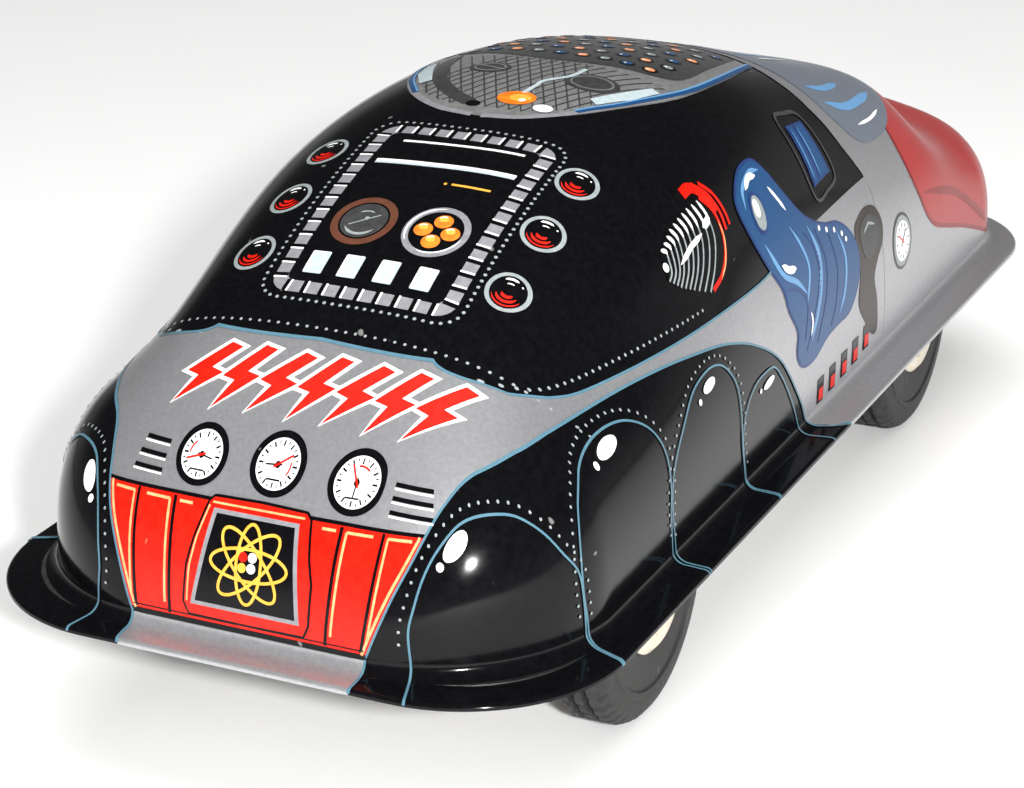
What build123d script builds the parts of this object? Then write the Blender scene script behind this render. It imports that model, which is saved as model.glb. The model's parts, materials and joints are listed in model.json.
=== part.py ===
from build123d import *
import os
from math import atan2, cos, exp, pi, sin

os.makedirs("parts", exist_ok=True)

# Millimetres. X forward, Y left, Z up, origin on the ground under the middle of the car.

# Body pressing
LENGTH = 145.0
WIDTH = 60.0
CORNER = 15.0
TIN = 0.5
EDGE_Z = 15.2
LIP = 0.6
ROOT_Z = 17.2
ROOT_LENGTH = 139.2
ROOT_WIDTH = 53.2
ROOT_CORNER = 14.0
WAIST_ANGLE = 40.0
WAIST_SPREAD = 13.0
ARCH_STEPS = 24
# Body stations: x, crown height over the root, half width, squareness, depth of the waist
STATIONS = (
    (-69.0, 4.1, 15.6, 3.57, 0.000),
    (-68.5, 6.6, 17.6, 3.51, 0.000),
    (-67.5, 9.2, 19.5, 3.42, 0.000),
    (-65.9, 12.1, 21.5, 3.25, 0.000),
    (-63.1, 15.2, 23.6, 2.99, 0.000),
    (-59.4, 18.4, 25.2, 2.88, 0.016),
    (-53.7, 22.6, 26.3, 2.72, 0.050),
    (-46.2, 27.0, 26.6, 2.60, 0.059),
    (-37.8, 30.3, 26.6, 2.71, 0.057),
    (-28.4, 32.8, 26.6, 2.86, 0.042),
    (-18.1, 34.5, 26.6, 2.81, 0.022),
    (-6.9, 34.9, 26.6, 2.71, 0.013),
    (4.4, 33.7, 26.6, 2.67, 0.010),
    (15.6, 31.2, 26.6, 2.78, 0.013),
    (25.9, 28.2, 26.6, 3.25, 0.021),
    (33.4, 25.9, 26.6, 3.71, 0.037),
    (40.0, 23.9, 26.6, 3.77, 0.048),
    (46.6, 20.2, 26.6, 3.44, 0.059),
    (52.2, 17.2, 26.4, 3.24, 0.058),
    (58.8, 15.4, 25.9, 3.08, 0.045),
    (64.4, 14.2, 23.8, 3.28, 0.025),
    (67.5, 12.0, 20.8, 3.82, 0.008),
    (69.1, 7.8, 17.2, 4.15, 0.000),
)
TAB = 6.0
SIDE_TAB_X = 9.0
END_TAB_Y = 8.0

# Base plate
PLATE = 0.4
PLATE_Z = EDGE_Z + PLATE
PLATE_TOP = PLATE_Z + PLATE
PLATE_LENGTH = 139.2
PLATE_WIDTH = 54.0
PLATE_CORNER = 12.6

# Wheels and axles
WHEEL_RADIUS = 12.75
AXLE_Z = WHEEL_RADIUS
REAR_X = -38.9
FRONT_X = 38.8
AXLE_RADIUS = 1.0
AXLE_END = 25.2
HUB_RADIUS = 6.0
HUB_INNER = 19.0
HUB_FACE = 25.6
TYRE_INNER = 18.9
TYRE_OUTER = 24.9
SHOULDER = 1.8
RUNNING = 0.06

# Clockwork
MODULE = 0.5
PLATE_IN = 9.0
PLATE_OUT = 9.8
FRAME = PLATE_OUT - PLATE_IN
SECOND_X = -30.9
SECOND_Z = 23.0
WINDING_X = -17.4
WINDING_Z = 29.54
GOVERNOR_X = -36.9
GOVERNOR_Z = 33.97
GREAT_TEETH = 48
SECOND_TEETH = 40
PINION_TEETH = 12
GOVERNOR_TEETH = 10
ARBOR = 1.0
WINDING = 1.5
PILLAR = 1.2
PILLARS = ((-3.0, 27.0), (-22.0, 44.0), (-46.0, 24.0))


def across(y):
    """Plane at a distance to the left; it faces right, so extrusions go right."""
    return Plane.XZ.offset(-y)


def save(piece, name):
    piece.part.label = name
    export_step(piece.part, f"parts/{name}.step")


def rod(name, x, z, steps):
    """Round bar along Y, one (radius, right end, left end) per step."""
    with BuildPart() as piece:
        for radius, right, left in steps:
            with BuildSketch(across(left)):
                with Locations((x, z)):
                    Circle(radius)
            extrude(amount=left - right)
    save(piece, name)


def ring_pair(name, x, z, bore, radius, inner, outer):
    """One sleeve on each side of the car."""
    with BuildPart() as piece:
        for left in (outer, -inner):
            with BuildSketch(across(left)):
                with Locations((x, z)):
                    Circle(radius)
                    Circle(bore, mode=Mode.SUBTRACT)
            extrude(amount=outer - inner)
    save(piece, name)


def rivets(name, spots, shank, head, bottom, top, head_height):
    """Upright rivets through a stack of plates."""
    with BuildPart() as piece:
        for low, high, radius in (
            (bottom - head_height, bottom, head),
            (bottom, top, shank),
            (top, top + head_height, head),
        ):
            with BuildSketch(Plane.XY.offset(low)):
                with Locations(*spots):
                    Circle(radius)
            extrude(amount=high - low)
    save(piece, name)


# Body shell

def arch_points(station, inset):
    """Cross-section of the body over the root line, left side to right side."""
    height, half, power, waist = station[1:]
    points = []
    for step in range(ARCH_STEPS + 1):
        angle = pi * step / ARCH_STEPS
        side = abs(cos(angle))
        rise = abs(sin(angle))
        reach = ((side / half) ** power + (rise / height) ** power) ** (-1 / power)
        lean = 90 - abs(90 - 180 * step / ARCH_STEPS)
        dip = waist * exp(-(((lean - WAIST_ANGLE) / WAIST_SPREAD) ** 2))
        reach = reach * (1 - dip) - inset
        points.append((reach * cos(angle), ROOT_Z + reach * sin(angle)))
    return points


def body_block(inset, foot):
    """Solid block of the body from its foot, below the root line, up."""
    squeeze = 1 - 2 * inset / LENGTH
    with BuildPart() as block:
        for station in STATIONS:
            points = arch_points(station, inset)
            with BuildSketch(Plane.YZ.offset(station[0] * squeeze)):
                with BuildLine():
                    Spline(*points, tangents=((0, 1), (0, -1)))
                    Polyline(
                        points[-1],
                        (points[-1][0], foot),
                        (points[0][0], foot),
                        points[0],
                    )
                make_face()
        loft(ruled=True)
    return block.part


def skirt_block(inset, drop):
    """Solid block of the flared flange below the root line."""
    low = EDGE_Z - drop
    with BuildPart() as block:
        with BuildSketch(Plane.XY.offset(low)):
            RectangleRounded(LENGTH - 2 * inset, WIDTH - 2 * inset, CORNER - inset)
        extrude(amount=LIP)
        with BuildSketch(Plane.XY.offset(low + LIP)):
            RectangleRounded(
                LENGTH - 1 - 2 * inset, WIDTH - 1 - 2 * inset, CORNER - inset
            )
        with BuildSketch(Plane.XY.offset(low + 1.7 * LIP)):
            RectangleRounded(
                LENGTH - 3 - 2 * inset, WIDTH - 3.6 - 2 * inset, CORNER - inset - 0.3
            )
        with BuildSketch(Plane.XY.offset(ROOT_Z + LIP - drop)):
            RectangleRounded(
                ROOT_LENGTH - 2 - 2 * inset, ROOT_WIDTH - 2 - 2 * inset, ROOT_CORNER - 1 - inset
            )
        loft(ruled=True)
    return block.part


outer_body = body_block(0, EDGE_Z + 1)
inner_body = body_block(TIN, EDGE_Z - 1)
outer_skirt = skirt_block(0, 0)
inner_skirt = skirt_block(TIN, 0.4)

with BuildPart() as body_shell:
    add(outer_body)
    add(outer_skirt)
    add(inner_body, mode=Mode.SUBTRACT)
    add(inner_skirt, mode=Mode.SUBTRACT)
    with BuildSketch(across(WIDTH / 2)):
        with Locations((WINDING_X, WINDING_Z)):
            Circle(2.6)
    extrude(amount=WIDTH / 4, mode=Mode.SUBTRACT)
    # Tabs folded in under the base plate
    with BuildSketch(Plane.XY.offset(EDGE_Z)):
        for x in (-SIDE_TAB_X, SIDE_TAB_X):
            for y in (-1, 1):
                with Locations((x, y * (WIDTH / 2 - TAB / 3))):
                    Rectangle(TAB, TAB / 1.6)
        for x in (-1, 1):
            for y in (-END_TAB_Y, END_TAB_Y):
                with Locations((x * (LENGTH / 2 - TAB / 3), y)):
                    Rectangle(TAB / 1.6, TAB)
    extrude(amount=PLATE)
save(body_shell, "body_shell")

# Base plate
MOTOR_HOLE = (-44.5, -21.5, 10.6)
WHEEL_CHORD = 13.5
WHEEL_GAP = (18.0, 26.6)
FEET = ((-48.5, 12.0), (-4.0, 12.0), (-48.5, -12.0), (-4.0, -12.0))
BRACKET_RIVETS = ((FRONT_X, 6.0), (FRONT_X, -6.0))
LEVER_PIVOT = (-55.0, -12.0)
SHANK = 0.9
PANEL = 20.0
PANEL_X = 13.0

with BuildPart() as base_plate:
    with BuildSketch(Plane.XY.offset(PLATE_Z)):
        RectangleRounded(PLATE_LENGTH, PLATE_WIDTH, PLATE_CORNER)
        with Locations(((MOTOR_HOLE[0] + MOTOR_HOLE[1]) / 2, 0)):
            Rectangle(
                MOTOR_HOLE[1] - MOTOR_HOLE[0], 2 * MOTOR_HOLE[2], mode=Mode.SUBTRACT
            )
        for x in (REAR_X, FRONT_X):
            for side in (-1, 1):
                with Locations((x, side * sum(WHEEL_GAP) / 2)):
                    Rectangle(
                        2 * WHEEL_CHORD, WHEEL_GAP[1] - WHEEL_GAP[0], mode=Mode.SUBTRACT
                    )
        with Locations(*FEET, *BRACKET_RIVETS, LEVER_PIVOT):
            Circle(SHANK, mode=Mode.SUBTRACT)
    extrude(amount=PLATE)
    # Flat panel pressed down out of the middle
    with BuildSketch(Plane.XY.offset(PLATE_Z - PLATE)):
        with Locations((PANEL_X, 0)):
            RectangleRounded(PANEL, PANEL, 2.0)
    extrude(amount=PLATE)
    with BuildSketch(Plane.XY.offset(PLATE_Z)):
        with Locations((PANEL_X, 0)):
            RectangleRounded(PANEL - 2 * PLATE, PANEL - 2 * PLATE, 1.6)
    extrude(amount=PLATE, mode=Mode.SUBTRACT)
save(base_plate, "base_plate")

# Front axle bracket: a strip under the plate with its ends folded down
EAR = 0.8
EAR_OUT = 11.8
EAR_HALF = 4.0
with BuildPart() as front_axle_bracket:
    with BuildSketch(Plane.XY.offset(PLATE_Z - EAR)):
        with Locations((FRONT_X, 0)):
            Rectangle(2 * EAR_HALF, 2 * EAR_OUT)
        with Locations(*BRACKET_RIVETS):
            Circle(SHANK, mode=Mode.SUBTRACT)
    extrude(amount=EAR)
    for left in (EAR_OUT, EAR - EAR_OUT):
        with BuildSketch(across(left)):
            with BuildLine():
                Polyline(
                    (FRONT_X - EAR_HALF, PLATE_Z),
                    (FRONT_X - EAR_HALF, AXLE_Z),
                    (FRONT_X - EAR_HALF / 2, AXLE_Z - 3.2),
                    (FRONT_X + EAR_HALF / 2, AXLE_Z - 3.2),
                    (FRONT_X + EAR_HALF, AXLE_Z),
                    (FRONT_X + EAR_HALF, PLATE_Z),
                    close=True,
                )
            make_face()
        extrude(amount=EAR)
    with BuildSketch(across(EAR_OUT)):
        with Locations((FRONT_X, AXLE_Z)):
            Circle(AXLE_RADIUS + RUNNING)
    extrude(amount=2 * EAR_OUT, mode=Mode.SUBTRACT)
save(front_axle_bracket, "front_axle_bracket")
rivets(
    "bracket_rivets", BRACKET_RIVETS, SHANK, 1.6, PLATE_Z - EAR, PLATE_TOP, 0.5
)


# Wheels

def wheel(name, x, side):
    """Hub and tyre of one wheel; side is 1 on the left."""
    middle = Plane((x, 0, AXLE_Z))
    axis = Axis((x, 0, AXLE_Z), (0, 1, 0))
    with BuildPart() as hub:
        with BuildSketch(middle):
            with BuildLine():
                Polyline(
                    (AXLE_RADIUS, side * HUB_INNER),
                    (HUB_RADIUS, side * HUB_INNER),
                    (HUB_RADIUS, side * (HUB_FACE - 0.9)),
                    (HUB_RADIUS - 0.6, side * (HUB_FACE - 0.4)),
                    (HUB_RADIUS / 2, side * HUB_FACE),
                    (AXLE_RADIUS, side * HUB_FACE),
                    close=True,
                )
            make_face()
        revolve(axis=axis)
        with BuildSketch(across(side * HUB_FACE)):
            with Locations((x, AXLE_Z)):
                with PolarLocations(3.5, 3, start_angle=255):
                    Circle(0.65)
        extrude(amount=1.8, both=True, mode=Mode.SUBTRACT)
    save(hub, f"{name}_hub")
    with BuildPart() as tyre:
        with BuildSketch(middle):
            with BuildLine():
                Polyline(
                    (HUB_RADIUS, side * TYRE_INNER),
                    (WHEEL_RADIUS, side * TYRE_INNER),
                    (WHEEL_RADIUS, side * TYRE_OUTER),
                    (HUB_RADIUS, side * TYRE_OUTER),
                    close=True,
                )
            section = make_face()
            fillet(section.vertices().group_by(Axis.X)[-1], radius=SHOULDER)
            for shift in (-0.6, 0.6):
                groove = side * (TYRE_INNER + TYRE_OUTER) / 2 + shift
                with Locations((WHEEL_RADIUS, groove)):
                    Rectangle(0.8, 0.4, mode=Mode.SUBTRACT)
            with Locations((WHEEL_RADIUS - 3.2, side * TYRE_OUTER)):
                Rectangle(0.6, 0.4, mode=Mode.SUBTRACT)
        revolve(axis=axis)
    save(tyre, f"{name}_tyre")


wheel("rear_left", REAR_X, 1)
wheel("rear_right", REAR_X, -1)
wheel("front_left", FRONT_X, 1)
wheel("front_right", FRONT_X, -1)
rod("rear_axle", REAR_X, AXLE_Z, [(AXLE_RADIUS, -AXLE_END, AXLE_END)])
rod("front_axle", FRONT_X, AXLE_Z, [(AXLE_RADIUS, -AXLE_END, AXLE_END)])
ring_pair("rear_axle_spacers", REAR_X, AXLE_Z, AXLE_RADIUS, 1.8, PLATE_OUT + 0.4, 18.8)
ring_pair("front_axle_spacers", FRONT_X, AXLE_Z, AXLE_RADIUS, 1.8, EAR_OUT + 0.4, 18.8)

# Clockwork frame: two side plates held apart by pillars, feet on the base plate
SIDE_OUTLINE = (
    (-50.5, PLATE_TOP),
    (-44.0, PLATE_TOP),
    (-42.6, 9.4),
    (-35.2, 9.4),
    (-33.6, PLATE_TOP),
    (0.0, PLATE_TOP),
    (0.0, 30.0),
    (-18.0, 46.6),
    (-26.0, 46.6),
    (-41.5, 39.0),
    (-50.5, 28.0),
)
LIGHTENING = ((-9.0, 21.5, 2.6), (-9.5, 34.0, 2.2), (-27.5, 34.5, 2.4))


def side_plate(name, side):
    """One clockwork side plate with two feet bent outwards."""
    outer = side * PLATE_OUT
    left = max(outer, side * PLATE_IN)
    with BuildPart() as piece:
        with BuildSketch(across(left)):
            with BuildLine():
                Polyline(*SIDE_OUTLINE, close=True)
            make_face()
            for x, z, radius in (
                (REAR_X, AXLE_Z, AXLE_RADIUS + RUNNING),
                (SECOND_X, SECOND_Z, ARBOR + RUNNING),
                (GOVERNOR_X, GOVERNOR_Z, ARBOR + RUNNING),
                (WINDING_X, WINDING_Z, WINDING + RUNNING),
                *((x, z, PILLAR / 2) for x, z in PILLARS),
                *LIGHTENING,
            ):
                with Locations((x, z)):
                    Circle(radius, mode=Mode.SUBTRACT)
        extrude(amount=FRAME)
        with BuildSketch(Plane.XY.offset(PLATE_TOP)):
            for x in (-47.75, -4.0):
                with Locations((x, side * (PLATE_OUT + 2.1))):
                    Rectangle(5.5, 4.4)
            with Locations(*FEET):
                Circle(SHANK, mode=Mode.SUBTRACT)
        extrude(amount=FRAME)
    save(piece, name)


side_plate("motor_plate_left", 1)
side_plate("motor_plate_right", -1)
rivets("motor_rivets", FEET, SHANK, 1.6, PLATE_Z, PLATE_TOP + FRAME, 0.5)

with BuildPart() as motor_pillars:
    for radius, reach in ((PILLAR, PLATE_IN), (PILLAR / 2, PLATE_OUT + 0.5)):
        with BuildSketch(across(reach)):
            with Locations(*PILLARS):
                Circle(radius)
        extrude(amount=2 * reach)
save(motor_pillars, "motor_pillars")


# Gears

def gear_points(teeth, phase):
    """Outline of a spur gear with slim teeth, so that a pair runs with backlash."""
    pitch = teeth * MODULE / 2
    slim = 0.36 if teeth > 20 else 0.45
    swell = 0.36 if teeth > 20 else 0.126
    half = 0.2 * pi * MODULE
    tip = pitch + 0.9 * MODULE
    root = pitch - 1.25 * MODULE
    tip_half = (half - slim * 0.9 * MODULE) / tip
    root_half = (half + swell * 1.25 * MODULE) / root
    flank = (
        (root, -root_half),
        (pitch, -half / pitch),
        (tip, -tip_half),
        (tip, tip_half),
        (pitch, half / pitch),
        (root, root_half),
    )
    points = []
    for tooth in range(teeth):
        centre = 2 * pi * tooth / teeth + phase
        for reach, turn in flank:
            points.append((reach * cos(centre + turn), reach * sin(centre + turn)))
    return points


def mating_phase(teeth, phase, other, heading):
    """Phase of a gear that meshes with one of the given phase, along a heading."""
    share = 0.5 - (heading - phase) * teeth / (2 * pi)
    return heading + pi - share * 2 * pi / other


def heading_to(x0, z0, x1, z1):
    return atan2(z1 - z0, x1 - x0)


def gear(name, x, z, teeth, phase, bore, right, left):
    points = [(x + u, z + w) for u, w in gear_points(teeth, phase)]
    with BuildPart() as piece:
        with BuildSketch(across(left)):
            with BuildLine():
                Polyline(*points, close=True)
            make_face()
            with Locations((x, z)):
                Circle(bore, mode=Mode.SUBTRACT)
        extrude(amount=left - right)
    save(piece, name)


axle_phase = 0.0
second_phase = mating_phase(
    PINION_TEETH,
    axle_phase,
    SECOND_TEETH,
    heading_to(REAR_X, AXLE_Z, SECOND_X, SECOND_Z),
)
governor_phase = mating_phase(
    SECOND_TEETH,
    second_phase,
    GOVERNOR_TEETH,
    heading_to(SECOND_X, SECOND_Z, GOVERNOR_X, GOVERNOR_Z),
)
great_phase = mating_phase(
    PINION_TEETH,
    second_phase,
    GREAT_TEETH,
    heading_to(SECOND_X, SECOND_Z, WINDING_X, WINDING_Z),
)

gear("axle_pinion", REAR_X, AXLE_Z, PINION_TEETH, axle_phase, AXLE_RADIUS, 3.5, 5.5)
gear("second_wheel", SECOND_X, SECOND_Z, SECOND_TEETH, second_phase, ARBOR, 4.0, 5.0)
gear("second_pinion", SECOND_X, SECOND_Z, PINION_TEETH, second_phase, ARBOR, -0.5, 1.5)
gear(
    "governor_pinion", GOVERNOR_X, GOVERNOR_Z, GOVERNOR_TEETH, governor_phase, ARBOR, 3.5, 5.5
)
rod("second_arbor", SECOND_X, SECOND_Z, [(ARBOR, -PLATE_OUT - 0.4, PLATE_OUT + 0.4)])
rod("governor_arbor", GOVERNOR_X, GOVERNOR_Z, [(ARBOR, -PLATE_OUT - 0.4, PLATE_OUT + 0.4)])

# Governor flywheel
with BuildPart() as governor_flywheel:
    with BuildSketch(across(-4.0)):
        with Locations((GOVERNOR_X, GOVERNOR_Z)):
            Circle(5.5)
            Circle(ARBOR, mode=Mode.SUBTRACT)
            with PolarLocations(3.4, 4):
                Circle(1.1, mode=Mode.SUBTRACT)
    extrude(amount=2.0)
save(governor_flywheel, "governor_flywheel")

# Great wheel, with a hole for the click rivet
CLICK_REACH = 8.4
CLICK_X = WINDING_X
CLICK_Z = WINDING_Z - CLICK_REACH
great_points = [
    (WINDING_X + u, WINDING_Z + w) for u, w in gear_points(GREAT_TEETH, great_phase)
]
with BuildPart() as great_wheel:
    with BuildSketch(across(1.2)):
        with BuildLine():
            Polyline(*great_points, close=True)
        make_face()
        with Locations((WINDING_X, WINDING_Z)):
            Circle(WINDING + RUNNING, mode=Mode.SUBTRACT)
            with PolarLocations(7.8, 3, start_angle=30, angular_range=120):
                Circle(1.6, mode=Mode.SUBTRACT)
        with Locations((CLICK_X, CLICK_Z)):
            Circle(0.6, mode=Mode.SUBTRACT)
    extrude(amount=1.0)
save(great_wheel, "great_wheel")

# Ratchet wheel on the winding arbor
RATCHET_TEETH = 12
RATCHET_TIP = 5.2
RATCHET_ROOT = 4.2
with BuildPart() as ratchet_wheel:
    with BuildSketch(across(2.6)):
        with BuildLine():
            saw = []
            for tooth in range(RATCHET_TEETH):
                turn = 2 * pi * tooth / RATCHET_TEETH
                for reach in (RATCHET_ROOT, RATCHET_TIP):
                    saw.append(
                        (WINDING_X + reach * cos(turn), WINDING_Z + reach * sin(turn))
                    )
            Polyline(*saw, close=True)
        make_face()
        with Locations((WINDING_X, WINDING_Z)):
            Circle(WINDING, mode=Mode.SUBTRACT)
    extrude(amount=1.0)
save(ratchet_wheel, "ratchet_wheel")

# Click, its rivet and its wire spring, carried by the great wheel
with BuildPart() as click:
    with BuildSketch(across(2.5)):
        with BuildLine():
            Polyline(
                (CLICK_X - 1.2, CLICK_Z - 0.9),
                (CLICK_X + 1.2, CLICK_Z - 0.9),
                (CLICK_X + 4.9, CLICK_Z + 3.2),
                (CLICK_X + 4.3, CLICK_Z + 4.1),
                (CLICK_X + 3.4, CLICK_Z + 4.1),
                (CLICK_X - 1.2, CLICK_Z + 0.9),
                close=True,
            )
        make_face()
        with Locations((CLICK_X, CLICK_Z)):
            Circle(0.66, mode=Mode.SUBTRACT)
    extrude(amount=0.9)
save(click, "click")
rod(
    "click_rivet",
    CLICK_X,
    CLICK_Z,
    [(1.0, -0.1, 0.2), (0.6, 0.2, 2.6), (1.1, 2.6, 3.0)],
)
with BuildPart() as click_spring:
    with BuildSketch(across(2.2)):
        with BuildLine():
            Polyline(
                (CLICK_X + 2.6, CLICK_Z - 2.4),
                (CLICK_X + 3.0, CLICK_Z - 2.4),
                (CLICK_X + 6.6, CLICK_Z + 2.0),
                (CLICK_X + 6.2, CLICK_Z + 2.2),
                close=True,
            )
        make_face()
    extrude(amount=0.4)
    with BuildSketch(across(2.2)):
        with Locations((CLICK_X + 2.8, CLICK_Z - 2.2)):
            Circle(0.5)
    extrude(amount=1.0)
save(click_spring, "click_spring")

# Winding arbor with the spring's core; its squared end takes the removable key
ARBOR_ROUND = 26.0
ARBOR_END = 29.4
KEY_SQUARE = 2.1
with BuildPart() as winding_arbor:
    for radius, right, left in ((WINDING, -PLATE_OUT - 0.4, ARBOR_ROUND), (2.0, -8.2, -0.3)):
        with BuildSketch(across(left)):
            with Locations((WINDING_X, WINDING_Z)):
                Circle(radius)
        extrude(amount=left - right)
    with BuildSketch(across(ARBOR_END)):
        with Locations((WINDING_X, WINDING_Z)):
            Rectangle(KEY_SQUARE, KEY_SQUARE, rotation=20)
    extrude(amount=ARBOR_END - ARBOR_ROUND)
save(winding_arbor, "winding_arbor")
with BuildPart() as key_eyelet:
    for radius, right, left in ((2.5, 23.6, 26.5), (3.5, 26.5, 26.9)):
        with BuildSketch(across(left)):
            with Locations((WINDING_X, WINDING_Z)):
                Circle(radius)
        extrude(amount=left - right)
    with BuildSketch(across(26.9)):
        with Locations((WINDING_X, WINDING_Z)):
            Circle(WINDING + RUNNING)
    extrude(amount=3.3, mode=Mode.SUBTRACT)
save(key_eyelet, "key_eyelet")

# Mainspring: a flat strip wound from the arbor core out to the nearest pillar
COIL_TURNS = 6
COIL_STEPS = 16
COIL_START = 2.4
COIL_END = 13.0
COIL_THICK = 0.4
coil_heading = heading_to(WINDING_X, WINDING_Z, *PILLARS[0])


def coil(offset):
    steps = COIL_TURNS * COIL_STEPS
    points = []
    for step in range(steps + 1):
        turn = coil_heading + 2 * pi * (step / COIL_STEPS - COIL_TURNS)
        reach = COIL_START + (COIL_END - COIL_START) * step / steps + offset
        points.append((WINDING_X + reach * cos(turn), WINDING_Z + reach * sin(turn)))
    return points


with BuildPart() as mainspring:
    with BuildSketch(across(-1.0)):
        with BuildLine():
            inner_edge = Spline(*coil(0))
            outer_edge = Spline(*coil(COIL_THICK))
            Line(inner_edge @ 0, outer_edge @ 0)
            Line(inner_edge @ 1, outer_edge @ 1)
        make_face()
    extrude(amount=6.5)
save(mainspring, "mainspring")

# Stop lever under the base plate, with its pivot
LEVER_TOP = PLATE_Z - 0.4
LEVER = 0.8
with BuildPart() as stop_lever:
    with BuildSketch(Plane.XY.offset(LEVER_TOP - LEVER)):
        with BuildLine():
            Polyline(
                (-67.0, -13.6),
                (-56.5, -14.2),
                (-49.5, -18.0),
                (-47.3, -16.4),
                (-53.0, -10.2),
                (-67.0, -10.4),
                close=True,
            )
        make_face()
        with Locations(LEVER_PIVOT):
            Circle(SHANK + RUNNING, mode=Mode.SUBTRACT)
    extrude(amount=LEVER)
    with BuildSketch(Plane.XY.offset(LEVER_TOP - 2.2)):
        with Locations((-66.6, -12.0)):
            Rectangle(0.8, 3.2)
    extrude(amount=2.2)
save(stop_lever, "stop_lever")
rivets("lever_rivet", (LEVER_PIVOT,), SHANK, 1.6, LEVER_TOP - LEVER - 0.3, PLATE_TOP, 0.5)
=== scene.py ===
import json
import math

import bpy
import numpy as np
from mathutils import Matrix, Vector
from mathutils.geometry import delaunay_2d_cdt


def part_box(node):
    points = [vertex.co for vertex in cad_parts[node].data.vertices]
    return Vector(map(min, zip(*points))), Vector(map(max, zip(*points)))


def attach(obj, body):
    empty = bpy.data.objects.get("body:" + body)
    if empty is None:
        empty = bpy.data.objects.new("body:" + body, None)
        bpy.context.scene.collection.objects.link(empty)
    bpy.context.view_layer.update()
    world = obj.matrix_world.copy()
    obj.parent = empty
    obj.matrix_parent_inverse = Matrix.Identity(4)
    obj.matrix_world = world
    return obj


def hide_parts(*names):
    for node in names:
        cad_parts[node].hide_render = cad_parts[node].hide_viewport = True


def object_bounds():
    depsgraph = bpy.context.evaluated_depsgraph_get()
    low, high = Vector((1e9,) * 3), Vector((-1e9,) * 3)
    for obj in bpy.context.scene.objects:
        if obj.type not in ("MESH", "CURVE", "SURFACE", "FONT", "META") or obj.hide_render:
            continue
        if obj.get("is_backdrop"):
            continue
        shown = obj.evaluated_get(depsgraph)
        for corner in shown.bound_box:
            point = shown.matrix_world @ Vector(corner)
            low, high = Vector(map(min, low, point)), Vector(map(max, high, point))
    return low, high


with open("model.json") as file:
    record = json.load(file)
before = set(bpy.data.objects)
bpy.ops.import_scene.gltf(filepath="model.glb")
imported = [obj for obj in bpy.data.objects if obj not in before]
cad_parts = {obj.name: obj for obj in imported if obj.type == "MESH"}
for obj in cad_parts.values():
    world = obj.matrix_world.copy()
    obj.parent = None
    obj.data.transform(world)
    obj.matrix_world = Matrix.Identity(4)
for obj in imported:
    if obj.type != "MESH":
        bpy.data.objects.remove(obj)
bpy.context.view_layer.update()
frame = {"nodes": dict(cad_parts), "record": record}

MM = 0.001

# ---------------------------------------------------------------- materials


def material(name, colour, second=None, rough=(0.2, 0.3), metal=0.0, coat=0.0, scale=900.0,
             bump=0.02, specks=None, grain=None, coat_rough=0.05, specular=0.5):
    """Paint, metal or plastic with fine mottling, roughness variation, bump and optional dust."""
    made = bpy.data.materials.new(name)
    made.use_nodes = True
    nodes, links = made.node_tree.nodes, made.node_tree.links
    shader = nodes["Principled BSDF"]
    shader.inputs["Metallic"].default_value = metal
    shader.inputs["Coat Weight"].default_value = coat
    shader.inputs["Coat Roughness"].default_value = coat_rough
    shader.inputs["Specular IOR Level"].default_value = specular
    where = nodes.new("ShaderNodeTexCoord")
    place = nodes.new("ShaderNodeMapping")
    place.inputs["Scale"].default_value = grain or (1, 1, 1)
    links.new(where.outputs["Object"], place.inputs["Vector"])
    noise = nodes.new("ShaderNodeTexNoise")
    noise.inputs["Scale"].default_value = scale
    noise.inputs["Detail"].default_value = 4
    links.new(place.outputs["Vector"], noise.inputs["Vector"])
    ramp = nodes.new("ShaderNodeValToRGB")
    ramp.color_ramp.elements[0].position = 0.35
    ramp.color_ramp.elements[1].position = 0.65
    ramp.color_ramp.elements[0].color = (*colour, 1)
    ramp.color_ramp.elements[1].color = (*(second or [c * 1.12 + 0.002 for c in colour]), 1)
    links.new(noise.outputs["Fac"], ramp.inputs["Fac"])
    colour_out = ramp.outputs["Color"]
    if specks:
        dust = nodes.new("ShaderNodeTexNoise")
        dust.inputs["Scale"].default_value = specks[0]
        dust.inputs["Detail"].default_value = 1
        links.new(where.outputs["Object"], dust.inputs["Vector"])
        cut = nodes.new("ShaderNodeMapRange")
        cut.inputs["From Min"].default_value = specks[1]
        cut.inputs["From Max"].default_value = specks[1] + 0.03
        links.new(dust.outputs["Fac"], cut.inputs["Value"])
        mix = nodes.new("ShaderNodeMix")
        mix.data_type = "RGBA"
        mix.inputs["B"].default_value = (*specks[2], 1)
        links.new(cut.outputs["Result"], mix.inputs["Factor"])
        links.new(colour_out, mix.inputs["A"])
        colour_out = mix.outputs["Result"]
    links.new(colour_out, shader.inputs["Base Color"])
    spread = nodes.new("ShaderNodeMapRange")
    spread.inputs["To Min"].default_value, spread.inputs["To Max"].default_value = rough
    links.new(noise.outputs["Fac"], spread.inputs["Value"])
    links.new(spread.outputs["Result"], shader.inputs["Roughness"])
    relief = nodes.new("ShaderNodeBump")
    relief.inputs["Strength"].default_value = bump
    relief.inputs["Distance"].default_value = 0.0002
    links.new(noise.outputs["Fac"], relief.inputs["Height"])
    links.new(relief.outputs["Normal"], shader.inputs["Normal"])
    return made


def ink(name, colour, second=None, **more):
    """Glossy printed ink on tin."""
    options = dict(rough=(0.272, 0.28), coat=0.04, specular=0.28, scale=1500.0, bump=0.004)
    options.update(more)
    return material(name, colour, second, **options)


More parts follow.
